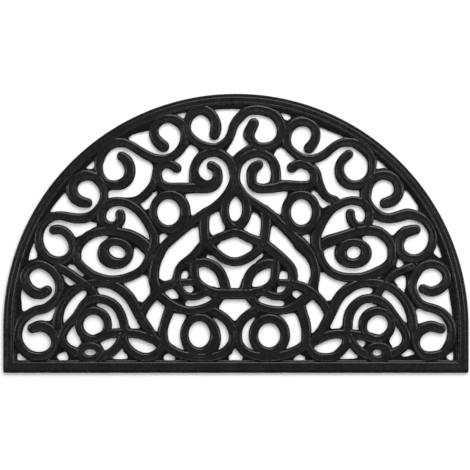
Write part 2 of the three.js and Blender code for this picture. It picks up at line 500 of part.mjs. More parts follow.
// A strand's section across its route: leaning sides and a flat top.
// The half width is given apart, so that a round end can narrow it.
function strandSection(x, y, acrossX, acrossY, half) {
  const top = Math.min(TOP_IN, half * NARROW_TOP_IN);
  const place = (across, z) => [x + acrossX * across, y + acrossY * across, z];
  return [
    place(-half, 0),
    place(-half + top, HEIGHT),
    place(half - top, HEIGHT),
    place(half, 0),
  ];
}

function strandSolid({ start, end, stations }) {
  const samples = route(stations);
  const rows = [];
  const add = (sample, along, half) => {
    const { point, tangent } = sample;
    rows.push(
      strandSection(point.x + tangent.x * along, point.y + tangent.y * along, -tangent.y, tangent.x, half),
    );
  };
  const tip = (sample, side) => {
    const radius = sample.width / 2;
    const order = side > 0 ? TIP_ANGLES : [...TIP_ANGLES].reverse();
    order.forEach((degrees) => {
      const angle = THREE.MathUtils.degToRad(degrees);
      add(sample, side * radius * Math.sin(angle), radius * Math.cos(angle));
    });
  };
  if (start === "tip") tip(samples[0], -1);
  samples.forEach((sample) => add(sample, 0, sample.width / 2));
  if (end === "tip") tip(samples[samples.length - 1], 1);
  return solid(loft(rows, false));
}

function onEllipse({ x, y, halfX, halfY, tilt }, angle, inset) {
  const turn = THREE.MathUtils.degToRad(tilt);
  const u = (halfX - inset) * Math.cos(angle - turn);
  const v = (halfY - inset) * Math.sin(angle - turn);
  return [x + u * Math.cos(turn) - v * Math.sin(turn), y + u * Math.sin(turn) + v * Math.cos(turn)];
}

// A ring has the strands' section, between its outer ellipse and its hole.
function ringSolid({ outer, hole }) {
  const rows = [];
  for (let i = 0; i < RING_STEPS; i++) {
    const angle = (i / RING_STEPS) * Math.PI * 2;
    rows.push([
      [...onEllipse(hole, angle, 0), 0],
      [...onEllipse(outer, angle, 0), 0],
      [...onEllipse(outer, angle, TOP_IN), HEIGHT],
      [...onEllipse(hole, angle, -TOP_IN), HEIGHT],
    ]);
  }
  return solid(loft(rows, true));
}

function webSolid(outline, height) {
  const shape = new THREE.Shape(outline.map(([x, y]) => new THREE.Vector2(x, y)));
  return solid(new THREE.ExtrudeGeometry(shape, { depth: height, bevelEnabled: false }));
}

function rimWidth(angle) {
  const next = Math.max(1, RIM_WIDTHS.findIndex((row) => row.angle >= angle));
  const before = RIM_WIDTHS[next - 1];
  const after = RIM_WIDTHS[next];
  const share = (angle - before.angle) / (after.angle - before.angle);
  return THREE.MathUtils.lerp(before.width, after.width, ease(share));
}

// One cross-section of the rim: from an outer point, inwards along a direction.
function rimSection(x, y, inX, inY, width) {
  const place = (inset, z) => [x + inX * inset, y + inY * inset, z];
  return [
    place(0, 0),
    ...RIM_SECTION.map(({ inset, height }) => place(inset, height)),
    place(width - LEDGE_LEAN, LEDGE_HEIGHT),
    place(width, 0),
  ];
}

function rimSolid() {
  const rows = [];
  for (let angle = 0; angle <= 180; angle += RIM_ARC_STEP) {
    const turn = THREE.MathUtils.degToRad(angle);
    const x = Math.cos(turn);
    const y = Math.sin(turn);
    rows.push(rimSection(x * RADIUS, STRAIGHT + y * RADIUS, -x, -y, rimWidth(angle)));
  }
  rows.push(rimSection(-RADIUS, SIDE_TOP, 1, 0, SIDE_WIDTH.left));
  const corner = (side, width) => {
    const stretch = FOOT_WIDTH / width;
    const high = [side * RADIUS, CORNER, -side, stretch - CORNER / width];
    const low = [side * (RADIUS - CORNER), 0, -side * (1 - CORNER / width), stretch];
    return [high, low].map(([x, y, inX, inY]) => rimSection(x, y, inX, inY, width));
  };
  rows.push(...corner(-1, SIDE_WIDTH.left));
  rows.push(...corner(1, SIDE_WIDTH.right).reverse());
  rows.push(rimSection(RADIUS, SIDE_TOP, -1, 0, SIDE_WIDTH.right));
  return solid(loft(rows, true));
}

function matSolid() {
  const strands = [SCROLLS, HEART, BROWS, ARCHES, BASE, KNOTS, EYE].flat().map(strandSolid);
  const rings = RINGS.map(ringSolid);
  const webs = [
    ...RIM_WEBS.map((outline) => webSolid(outline, LOW_WEB)),
    ...[...LOWER_WEBS, ...UPPER_WEBS].map((outline) => webSolid(outline, WEB)),
    ...FULL_WEBS.map((outline) => webSolid(outline, HEIGHT)),
  ];
  return [...strands, ...rings, ...webs].reduce((all, piece) => all.add(piece), rimSolid());
}

function matMesh() {
  const { vertProperties, triVerts } = matSolid().getMesh();
  const geometry = new THREE.BufferGeometry();
  geometry.setAttribute("position", new THREE.BufferAttribute(vertProperties, 3));
  geometry.setIndex(new THREE.BufferAttribute(triVerts, 1));
  const rubber = new THREE.MeshStandardMaterial({ color: 0x26292a, roughness: 0.72, metalness: 0 });
  const mesh = new THREE.Mesh(geometry, rubber);
  mesh.name = "mat";
  return mesh;
}

const doormat = new THREE.Group();
const mat = matMesh();
mat.position.y = -(STRAIGHT + RADIUS) / 2;
doormat.add(mat);

export default doormat;
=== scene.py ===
"""Looks for the half round scrollwork doormat: its rubber in full detail, the floor, lights and camera.

The mat is one rubber moulding, so one piece stands for the CAD solid. The tables are in millimetres
and measure it from the middle of its straight edge, as the CAD source does. SCALE turns them into metres.
"""

import math

import bmesh
import bpy
import numpy as np
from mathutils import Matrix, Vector, noise
from mathutils.geometry import delaunay_2d_cdt


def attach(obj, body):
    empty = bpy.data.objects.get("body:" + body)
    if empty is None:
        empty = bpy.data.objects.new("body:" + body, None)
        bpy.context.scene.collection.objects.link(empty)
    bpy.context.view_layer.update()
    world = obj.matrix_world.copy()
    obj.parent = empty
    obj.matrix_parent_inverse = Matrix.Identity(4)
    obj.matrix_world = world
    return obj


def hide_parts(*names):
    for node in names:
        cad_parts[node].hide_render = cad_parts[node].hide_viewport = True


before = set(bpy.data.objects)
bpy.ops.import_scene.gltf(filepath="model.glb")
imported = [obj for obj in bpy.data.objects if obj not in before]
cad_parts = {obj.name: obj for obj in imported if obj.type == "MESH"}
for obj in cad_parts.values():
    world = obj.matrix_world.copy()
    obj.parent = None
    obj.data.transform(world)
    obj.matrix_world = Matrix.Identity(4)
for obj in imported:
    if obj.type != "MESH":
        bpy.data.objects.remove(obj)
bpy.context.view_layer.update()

SCALE = 0.001  # metres in a millimetre
RADIUS = 375  # of the half round outer edge
STRAIGHT = 75  # height of the straight sides below the half round
HEIGHT = 8  # the mat's full thickness
LONGEST_STEP = 5  # between the sections of a strand
BEND_STEP = math.radians(12)  # the most that a strand turns between them
TIP_FAN = 8  # steps round a strand's end
TIP_REACH = 1  # how far a free end runs on past its last station, as a share of its half width
IN_REACH = 0.6  # and an end that runs into what it joins
IN_SINK = 0.75  # how far such an end sinks below the crown that it meets
IN_SINK_LENGTH = 9
RING_STEPS = 48  # sections round a ring
ARC_STEP = 1.5  # degrees between the sections of the half round rim
STRAIGHT_STEP = 12  # between the sections of the rim along the straight edge
SIDE_STEPS = 6  # from one section to the next up each straight side
CORNER_FAN = 6  # steps round each square corner
CORNER_OUTER = 3.4  # radius of the square corners outside
CORNER_INNER = 2.2  # and inside
SPREAD = 0.65  # how far a strand's sides bulge past its row's width
FILM = 3.2  # height of the film that rounds the corners between strands
FULL_WEB = 7.95  # height of the one film that fills a loop
FIELD_STEP = 1.5  # of the grid on which the film's outline is found
FIELD_REACH = 7  # how far from a strand the film may go
FIELD_MARGIN = 5  # how far the grid runs on beyond the mat
BLEND = 1.3  # how softly the film joins its neighbours
FILM_INSET = 0.5  # how far the film stands in from a strand's free side
WEB_STEP = 1.1  # between the points of a film's outline
WEB_SMOOTHING = 7  # passes that round its corners
MERGE = 1e-5  # points of the film nearer to each other than this become one
TINY = 1e-9  # keeps a division or a logarithm clear of nothing
SHARP = math.radians(38)  # an edge that bends by more than this is drawn sharp

CROWN_DIP = 0.07  # how far the crowns of the strands wander up and down
DIP_LENGTH = 16  # over about this length
SHOULDER_DRIFT = 0.9  # how far the crowns wander sideways
DRIFT_LENGTH = 11

# A strand's moulded section: how far across, as a share of its half width, and how high.
# A low foot stands out on either side of a steep wall. The shoulders are round and the crown hollow.
STRAND_SECTION = [
    (1, 0),
    (0.985, 4.1),
    (0.955, 4.5),
    (0.865, 4.65),
    (0.84, 6.5),
    (0.77, 7.25),
    (0.68, 7.66),
    (0.58, 7.93),
    (0.47, HEIGHT),
    (0.22, 7.68),
    (0, 7.54),
]

# The rim's moulded section, from the outer edge inwards: how far in, how high, and the least that is
# left between the point and the rim's inner edge where the rim is narrow.
RIM_SECTION = [
    (0, 0, 9),
    (0.1, 4.3, 9),
    (0.35, 4.8, 9),
    (0.9, 4.98, 9),
    (1.6, 5, 9),
    (4.7, 5, 9),
    (4.95, 5.2, 9),
    (5.15, 7.2, 9),
    (5.4, 7.7, 9),
    (5.9, 7.95, 9),
    (6.8, HEIGHT, 9),
    (10.6, HEIGHT, 8),
    (11.5, 7.8, 7),
    (12.5, 7.7, 6),
    (13.5, 7.85, 5),
    (14.4, HEIGHT, 4),
    (15.6, HEIGHT, 3),
    (16.6, 7.85, 2.6),
    (17.4, 7.2, 1.9),
    (18.2, 5.8, 1.4),
    (18.8, 4.8, 1.1),
    (19.5, 4.5, 0.9),
]
# Its inner edge: how far short of the rim's width, and how high.
LEDGE_EDGE = [(0.6, 4.35), (0.25, 3.4), (0, 0)]
FOOT_WIDTH = 20.4  # the rim along the straight edge
SIDE_WIDTHS = {"left": 22.5, "right": 24.5}  # the rim up the straight sides
SIDE_TOP = 33  # from here up the sides widen towards the half round


def strand(name, start, end, stations):
    return {"name": name, "start": start, "end": end, "stations": stations}


def scroll(name, stations):
    """A strand with two round free ends."""
    return strand(name, "tip", "tip", stations)


def link(name, stations):
    """A strand with two ends that run into what they join."""
    return strand(name, "in", "in", stations)


def ellipse(x, y, half_x, half_y, tilt=0):
    return {"x": x, "y": y, "half_x": half_x, "half_y": half_y, "tilt": math.radians(tilt)}


# Width of the half round rim, by the angle round it from the right-hand end.
RIM_WIDTHS = [
    (0, 25),
    (8, 27),
    (20, 24.3),
    (33, 23),
    (47, 22.1),
    (60, 23.7),
    (65, 26.4),
    (75, 23.3),
    (90, 24.7),
    (97, 24.1),
    (106, 20.1),
    (110, 25),
    (114, 29),
    (118.5, 24),
    (130, 22.9),
    (142, 24.4),
    (148, 22.5),
    (160, 22.2),
    (162, 23.6),
    (171, 24.6),
    (176, 29.2),
    (180, 29.5),
]

# A strand's row: its name, how its two ends are finished, and its stations along the route, as
# (x, y) or (x, y, width). A "tip" is a round free end, and an "in" end runs into what it joins.
# Widths ease from one that is given to the next. The left and right halves are as uneven as the mat.
SCROLLS = [
    scroll("scroll_low_left", [
        (-328, 72, 15.5), (-315, 75.7, 17.5), (-302, 71.5), (-293, 61), (-290.5, 50), (-295, 37, 13.5),
        (-306, 28.5), (-320, 26.5), (-334, 30), (-346, 41), (-352, 55), (-351, 70), (-345, 84),
        (-334.5, 94), (-321.5, 100.8), (-307.5, 104, 14.3), (-288, 121), (-284, 134), (-284.5, 146),
        (-291, 159), (-302, 170), (-317, 175.5, 13.5), (-331, 171), (-340, 161), (-340.5, 148), (-334, 136),
        (-324, 128.8, 17.5), (-313, 127.8), (-304.5, 132.8, 15),
    ]),
    scroll("scroll_low_right", [
        (330, 71.3, 15.5), (315, 75.3, 16.5), (302, 71.5, 16.5), (292.5, 62, 15), (289.5, 50, 13.5),
        (292.8, 37.3), (304.5, 28.2), (332, 31, 13.5), (342.3, 42.5, 14.5), (347.7, 56, 14.5),
        (348, 70, 13.7), (344.5, 82.5), (334.5, 95.6), (321, 103), (308, 106.5), (297, 112, 13.5),
        (288.5, 122, 15), (283.5, 135, 15.5), (284, 147), (289.6, 159.5, 15.5), (300, 171, 13.7),
        (315, 176), (329, 172), (338.5, 162), (340, 150, 13.5), (334.5, 140, 14.5), (325, 133.5, 15),
        (314, 131, 15), (302, 135.5, 14),
    ]),
    scroll("scroll_mid_left", [
        (-293.5, 230.5, 14.5), (-286, 231.3), (-277, 228.3), (-268, 219.5), (-263.5, 209, 13.3),
        (-263, 197), (-269, 187), (-279, 181.5), (-291, 181), (-303, 186), (-313, 198), (-317.7, 212),
        (-317, 226), (-311, 239), (-300, 249.5), (-286, 253.5, 13.3), (-260, 249.3, 15.5),
        (-247, 249.2, 15.5), (-234, 253, 14.5), (-222.5, 262.5), (-215, 274.5), (-212.3, 287, 12.5),
        (-214.5, 299), (-221, 310), (-231.5, 317.5, 16), (-243, 319, 17.5), (-255, 314.5),
        (-263, 304.5, 17), (-264.3, 292, 17.5), (-258.5, 281.3, 18), (-248.5, 275.5, 17),
        (-239.3, 274, 14.5),
    ]),
    scroll("scroll_mid_right", [
        (290, 231, 15), (282, 229.5, 17), (271.3, 225.7, 18), (264.5, 217, 18), (262.5, 206, 15),
        (264.5, 195.5, 16), (271.5, 188, 16), (281.5, 184.3, 14), (293.5, 184.8, 13), (305, 190.8),
        (312.8, 200), (317, 211.5), (317.3, 223.5), (312.5, 236, 13), (303.5, 246.5, 13.5),
        (291, 253.5, 15), (276, 256, 17.5), (262, 252, 17), (248, 249.3, 15.5), (236, 251, 15.5),
        (224, 258.5, 16), (214.5, 268), (209.3, 279, 17.5), (209.3, 291, 18.5), (213.5, 303.5, 17),
        (221.5, 313.5, 16), (233, 319, 15), (245.5, 318.2), (256.8, 312, 15), (262, 301.5, 15),
        (262.3, 290, 16), (256.5, 281), (248.5, 276, 17.5), (240.3, 273.8, 16),
    ]),
    scroll("scroll_high_left", [
        (-184, 349, 15), (-176.5, 342.5, 17), (-171.7, 333, 17), (-171, 322, 16.5), (-175.5, 311),
        (-185, 304.3, 16.5), (-197, 302.8, 14), (-210, 306.5), (-218.7, 318, 12.5), (-221.5, 332, 12.5),
        (-219, 347, 15), (-211.5, 360), (-200, 369), (-186, 371.8, 15), (-172, 368, 13), (-143.5, 350.8),
        (-130, 345.6, 14.3), (-116, 344.5), (-102, 349, 13), (-90, 359.5), (-83, 373), (-82, 387, 14.5),
        (-87, 400, 16), (-98.5, 408.3, 15.5), (-111, 410.5, 13.5), (-123, 406), (-131, 396, 13.5),
        (-132, 384, 15), (-126, 373, 17.5), (-117, 365.3, 18),
    ]),
    scroll("scroll_high_right", [
        (181.8, 352.3, 14), (174.3, 346, 14), (168, 336.5, 13.7), (166.7, 325, 14.7), (170, 314.5, 16),
        (177.5, 306.5, 16), (187, 302.8, 15), (198.3, 303.5, 14), (209, 309, 13), (217, 319, 13),
        (219.5, 332, 12.8), (219, 345, 15), (211.5, 356.5, 16.5), (202, 365, 17), (190.5, 371, 14.5),
        (179, 372.3, 14.5), (167, 370, 13), (155, 362.5, 12.7), (144.3, 353.2, 13.5), (132, 346.8),
        (120, 344.3, 13.5), (108, 346, 13), (88.3, 359.7, 12.5), (82, 370, 14), (81.5, 383, 15.5),
        (86, 394.5), (95, 402.5), (107, 405.5, 15.5), (119, 402.5, 14), (127, 394, 13.5), (129, 382.5),
        (125.5, 372, 15), (118, 362.5, 16.5),
    ]),
    scroll("top_pair", [
        (-34.7, 384, 16), (-32.3, 394, 17.5), (-32.8, 403, 16.5), (-37, 412.5, 16), (-45, 421, 16.5),
        (-56, 425), (-67, 421.5, 16.5), (-75.3, 411.5, 13), (-79.7, 398, 13), (-77.5, 386, 14),
        (-60, 369.5), (-36, 362.5, 14), (-25, 366, 13), (-14, 374.5), (-7.5, 386, 13), (-3.8, 398, 13.5),
        (2, 407.5, 14.5), (20, 422.8, 14.5), (34, 424.3, 15.5), (50, 421.5, 16), (63, 415), (71, 404, 16),
        (74, 391, 15), (71, 378, 14.5), (60, 367.3, 14), (46, 363.5, 15), (34, 365.5, 14.5), (26, 374, 13),
        (21, 384, 18), (28.5, 402, 16.5),
    ]),
]

HEART = [
    link("heart_left", [
        (-67.5, 302, 14), (-68.3, 320), (-65.5, 335), (-58, 347), (-48, 353.5), (-36, 356), (-25, 353.5),
        (-15, 347), (-8, 338), (-2.5, 316), (-4.5, 305), (-11, 292), (-21, 279), (-35, 266.5), (-50, 257.3),
        (-64.5, 247.5), (-115.5, 204, 14.5), (-124, 190, 16), (-129.8, 176), (-132.3, 163), (-132.3, 150),
        (-129, 137, 17),
    ]),
    link("heart_right", [
        (64.5, 302, 14), (65, 320, 15), (62.5, 334, 15.5), (56.5, 345, 14.3), (46.5, 352, 14), (34, 354.8),
        (22, 352), (12, 346), (4, 337), (-0.5, 318, 14), (0.7, 306.5, 13.5), (11.6, 288), (21, 279.3),
        (30.6, 273, 13.5), (56, 255.5, 14.5), (68.6, 243), (87, 225.5, 15.5), (95.5, 216.5, 17),
        (104, 207.8, 22), (113.5, 197.5, 20), (120.5, 188.5, 17), (125.7, 177, 14.5), (128.2, 165),
        (127.8, 155, 14.5), (125.8, 147, 16), (124, 136, 16.5),
    ]),
    link("crown_tie", [(0.5, 343, 15), (10.5, 352), (21, 359), (33, 364, 15)]),
    scroll("hook_left", [
        (-95.5, 330, 15), (-103, 335, 14), (-111, 337.3, 13.5), (-119, 335), (-125, 328, 13.5),
        (-127, 318, 14.7), (-124, 308), (-116, 301.5, 14.7), (-105, 299.5, 13.5), (-90, 299, 15),
        (-50, 298.2, 16.5), (-41, 299.5), (-33.5, 304), (-29.5, 311, 15), (-30, 325), (-34, 330.7),
        (-39.7, 334, 14),
    ]),
    scroll("hook_right", [
        (90.5, 331, 16), (97, 335.5, 14.5), (104.5, 337, 14), (112.5, 335, 13.5), (120.7, 330, 12.5),
        (125.8, 320.3, 12.5), (125.3, 309.5, 13), (119, 303.5, 13.5), (110, 301.5, 15), (86, 301.5, 17.5),
        (74, 301.5, 17.5), (62, 298.5, 15), (50, 297.5, 14.7), (40, 297.3, 15.2), (30.5, 300.2, 15.5),
        (25.8, 306.3, 15.5), (25.2, 316, 15), (26, 324, 17), (30, 331, 17), (36.5, 335.5, 14.5),
    ]),
    link("hook_link_left", [
        (-127, 325, 13.5), (-129.5, 313), (-134, 301.5), (-151, 283), (-163, 276, 13.5),
    ]),
    link("hook_link_right", [
        (124, 329, 15.5), (129, 322), (132, 311), (135.5, 300.7, 14.5), (140.5, 290.6, 13.5),
        (148.4, 282.6, 13), (160, 278.5, 13),
    ]),
]

BROWS = [
    strand("brow_left", "tip", "in", [
        (-186.5, 256, 14.5), (-185.8, 248, 15), (-190, 240, 14.5), (-199, 236), (-210, 239), (-216.5, 248),
        (-216, 259), (-210, 269), (-200, 275, 14.5), (-188, 276.2, 13.5), (-176, 273.7), (-164, 267),
        (-153, 257), (-137, 232.5, 13.5), (-131.8, 219, 15), (-132.5, 206, 15.5), (-137, 194, 15.5),
    ]),
    strand("brow_right", "tip", "in", [
        (184.5, 257, 14), (185.5, 248, 14.3), (189.3, 241), (196.5, 236), (207, 237, 14.3), (213.8, 244.5),
        (215.8, 255.5, 14), (212.5, 266), (204.5, 274), (194, 277.3, 13.5), (182, 277.3, 12.7),
        (159, 267, 13), (149.3, 257.3, 13), (141.5, 246, 13.5), (135, 234, 14.5), (128.8, 220.5, 17.5),
        (128.8, 208, 16.5), (131.5, 196, 14),
    ]),
    link("leaf_low_left", [
        (-137, 196, 13.5), (-141, 183), (-147, 171.5), (-157, 162), (-180, 152.3), (-205, 150),
        (-230, 157.3), (-240, 164), (-249, 171.5), (-256, 181), (-257, 190), (-256.5, 196, 13.5),
    ]),
    link("leaf_low_right", [
        (134, 197, 13), (136, 187), (140.5, 176.5, 13.5), (147, 167.8), (155.5, 161), (165, 156.5),
        (177, 153.8), (190, 153.3, 14), (205, 154.3, 14.5), (229, 163, 15.5), (240, 169, 15.5),
        (248, 176.5, 15), (252, 187, 13.5),
    ]),
    link("leaf_high_left", [
        (-257, 188, 13.5), (-256.5, 196), (-252.5, 206, 14), (-245.5, 215, 14.5), (-236, 222),
        (-225, 226.5, 14.3), (-212, 228.3, 13.7), (-199, 228, 14), (-186, 226, 15.5), (-172, 221.8, 18),
        (-160, 215.6), (-150, 208, 20.5), (-140, 198.5, 20.5),
    ]),
    link("leaf_high_right", [
        (252, 182, 13.5), (250.5, 205.5, 14), (245, 215.2), (237.3, 222.5, 16), (227, 228.5, 16.5),
        (213, 230, 17), (200, 229, 16), (175, 221, 16.5), (163, 216.5, 18.5), (150.5, 212.5, 19),
        (136.5, 205, 17),
    ]),
    link("leaf_link_left", [
        (-288, 172.5, 13.5), (-265.5, 158.5), (-256.5, 152), (-237, 138.5), (-230.5, 130), (-227, 120, 13),
    ]),
    link("leaf_link_right", [
        (284, 172, 13), (268, 164.5), (256, 159), (236.5, 140), (229.5, 129), (226, 119, 13),
    ]),
]

ARCHES = [
    link("arch_outer_left", [
        (-287, 64, 18), (-287, 80, 17), (-286, 92, 15), (-282.5, 104, 13.5), (-276, 116), (-267, 127),
        (-256, 136), (-243, 142), (-228, 145), (-214, 145, 13.5),
    ]),
    link("arch_outer_right", [
        (286, 62, 16.5), (282.3, 95.8, 15.7), (268.8, 121, 13.5), (249.5, 137.8), (226, 145),
        (212.5, 145.5, 13.5),
    ]),
    link("arch_inner_left", [
        (-216, 145, 13.5), (-203, 143), (-190, 137.5), (-178.5, 129, 16), (-169, 118), (-150.5, 83.5, 15.5),
        (-144, 74), (-130, 54, 14), (-121, 45, 14),
    ]),
    link("arch_inner_right", [
        (216, 145.5, 14), (203, 144.5), (190, 140.5, 15), (180, 134.5, 16.3), (171, 127), (163.5, 117),
        (145.5, 80.5, 15.8), (138.5, 69, 14.5), (121, 47, 14),
    ]),
    link("bell_left", [
        (-253, 31, 13.5), (-261, 35), (-269, 38.5), (-277, 46), (-280.3, 56), (-277.5, 66), (-272, 75),
        (-257.5, 91), (-245, 110.5), (-238, 116.5), (-229, 119.5), (-219, 119.5), (-209, 117), (-199, 112),
        (-191, 104.5), (-186, 96), (-180, 76), (-180.5, 66, 13.5), (-183.5, 55.5, 14.3), (-188.5, 46),
        (-195.5, 37.5), (-204, 31), (-216, 26.5, 14),
    ]),
    link("bell_right", [
        (246, 29.7, 13.5), (253, 32), (268, 39.5), (273.5, 47), (275.2, 57), (272.5, 67), (254, 94),
        (242, 109.7), (227, 119), (208, 119), (199, 115, 13.7), (190.5, 107.3, 15), (184.3, 98, 15.5),
        (181, 87), (180.2, 76, 15.5), (179.7, 66, 14), (181.5, 58), (192, 42), (199, 35.5), (214, 27, 14),
    ]),
    link("cross_left", [
        (-224, 55, 14), (-212, 60), (-200, 63.5), (-186, 64.5), (-158, 62.5), (-147, 59.5),
        (-124, 49.5, 14),
    ]),
    link("cross_right", [
        (226, 54, 16), (200, 60.5, 15), (170, 63, 15), (158, 62.7, 14.5), (147, 60.5), (126, 50.5, 14),
    ]),
    link("cradle_left", [
        (-182, 62, 13.5), (-179.5, 48), (-172, 37.5), (-162.5, 30), (-150, 25.3), (-140, 25.3),
        (-130.5, 29), (-121.5, 36.5), (-116.5, 46, 13.5),
    ]),
    link("cradle_right", [
        (178, 64, 13.5), (178.8, 55), (176.5, 44), (161.5, 28.2), (151, 24.8), (131, 26.5), (117.5, 38),
        (114, 47, 13.5),
    ]),
]

BASE = [
    link("fan_left", [
        (-130, 131, 15.5), (-109, 113), (-99, 107, 15), (-88, 103, 13.5), (-75, 99.8), (-50, 104.3),
        (-31, 116), (-25, 127, 14.5),
    ]),
    link("fan_right", [
        (124, 130.5, 17), (103, 113, 16.5), (91, 105.5, 14), (77, 101.3, 12.5), (62, 101), (37, 107.5, 13),
        (24.5, 119, 15),
    ]),
    link("bowl_left", [
        (-105, 108, 16), (-117, 72, 14), (-117, 58), (-113.5, 45.5), (-103, 37), (-90, 30.5), (-60, 25),
        (-32, 27), (-20.5, 32), (-11, 40), (-5, 50), (-3.5, 61), (-7.5, 74.5), (-15.5, 85.5), (-27, 94),
        (-40, 101.5, 14.5),
    ]),
    link("bowl_right", [
        (104.5, 106, 16), (107.3, 95, 16.5), (111.3, 83, 16.5), (113.5, 70, 15.5), (113.5, 58, 15),
        (112, 47), (104, 39.5), (79, 29.3), (50, 25), (22, 30.5), (11.5, 37), (4, 48), (2, 61), (4.3, 74.3),
        (11, 85.5), (21, 94), (32.5, 101, 14.5),
    ]),
    link("bar", [(-33, 127.5, 17.2), (-12, 127.5), (10, 127.5), (32, 127.5, 17.2)]),
]

KNOTS = [
    link("knot_outer_left", [
        (-153, 92, 13.5), (-146, 106), (-126, 130), (-113, 139.5), (-98, 144, 13.5), (-82, 146, 11),
        (-66, 146.5, 10.5),
    ]),
    link("knot_outer_right", [
        (151, 91, 13.8), (147, 101), (140.5, 111.5), (122, 130.5), (111, 137, 14.5), (99, 141.5, 14),
        (85, 144.8, 11), (70, 145.3, 10.5),
    ]),
    link("knot_inner_left", [
        (-46, 212, 14), (-57, 202), (-66, 191), (-75, 182.5, 14), (-86, 174.5, 13), (-92.7, 165),
        (-95, 154, 11.7), (-94, 143), (-89, 132), (-81.5, 125), (-71, 122.8), (-60, 124.5), (-50, 129.5),
        (-37, 132.5, 11.7),
    ]),
    link("knot_inner_right", [
        (45, 208, 17), (55.5, 199.3, 18), (65, 191.8, 17.5), (82.7, 175.7, 16.5), (89.8, 166, 16),
        (92, 155, 15.5), (90, 144, 12.5), (86, 133.5, 12), (79, 126), (69, 123), (58, 124.5), (48, 129),
        (36, 132, 12),
    ]),
    link("petal_outer_left", [
        (-68, 174, 14), (-58, 177.5), (-48, 177.8), (-32, 169.5), (-25, 161), (-18, 143), (-16, 130, 16),
    ]),
    link("petal_outer_right", [
        (64, 175.5, 15), (50, 176.5, 15.5), (30, 166.5), (22.3, 157, 15.5), (18.5, 148), (16.7, 140, 16.5),
        (14, 130, 16.5),
    ]),
    link("petal_inner_left", [
        (-67, 182, 14), (-67.3, 165), (-65.8, 153), (-60, 143.5), (-51, 136.5), (-40, 131.5),
        (-28, 128, 14),
    ]),
    link("petal_inner_right", [
        (63.5, 182, 13.5), (62.5, 154), (58.5, 144.5), (50.5, 137), (39.5, 132.4), (27, 130, 13.5),
    ]),
]

EYE = [
    link("post_left", [(-49, 257, 16), (-51, 248), (-50.5, 218), (-47, 205, 16)]),
    link("post_right", [(46.5, 262, 16), (48.5, 249), (48.7, 237), (44, 205, 16)]),
    link("eye_high", [
        (-48, 209, 13.5), (-37, 213.3), (-25.3, 218.8), (0, 226.3, 13.5), (10, 223.5, 14.5), (18, 219),
        (46, 208, 14.5),
    ]),
    link("eye_low", [
        (-49, 211, 13.5), (-30, 192), (-20, 184.5), (-10, 180), (-1, 179, 13.5), (9, 180.7, 14), (27, 190),
        (44, 205, 14),
    ]),
    link("lens_left", [
        (3, 297, 13.5), (-8, 288), (-15.5, 277.5), (-18.2, 264), (-17.3, 252.5), (-13.5, 243), (-7, 235.5),
        (2, 229, 13.5),
    ]),
    link("lens_right", [
        (-1.4, 297, 15), (8.6, 287.5), (15.6, 277.5), (17.9, 266), (16.6, 254), (11.6, 243.5), (5.1, 236.5),
        (-4.4, 230, 15),
    ]),
]

# A ring's row: its outer ellipse and its hole, each a centre, two half axes and a tilt in degrees.
RINGS = [
    (ellipse(-229.7, 77.5, 29.3, 29.5), ellipse(-229.7, 77.5, 16.8, 16.8)),
    (ellipse(227.3, 77.4, 29.6, 29.3), ellipse(228.2, 76.8, 18, 15.8, 35)),
    (ellipse(-235, 33, 22.5, 17), ellipse(-235, 33, 9.7, 5.3)),
    (ellipse(229, 33, 23, 17), ellipse(227.9, 32.5, 7.9, 5.4)),
    (ellipse(-57, 59, 32.2, 37, 16), ellipse(-59, 62, 17.8, 21.6)),
    (ellipse(54, 61, 33, 35), ellipse(53.7, 60.5, 18.3, 20.1)),
    (ellipse(-194.3, 193, 28.7, 25.3), ellipse(-191.3, 195.2, 14.2, 9.8, -22)),
    (ellipse(188.9, 193, 29.9, 24.2), ellipse(190, 194.2, 11.7, 10, 20)),
    (ellipse(-106.3, 259.5, 33, 35), ellipse(-108.6, 259.2, 18.8, 21.4)),
    (ellipse(105, 258.5, 31.5, 36), ellipse(105.6, 259.4, 17.4, 21.2)),
]

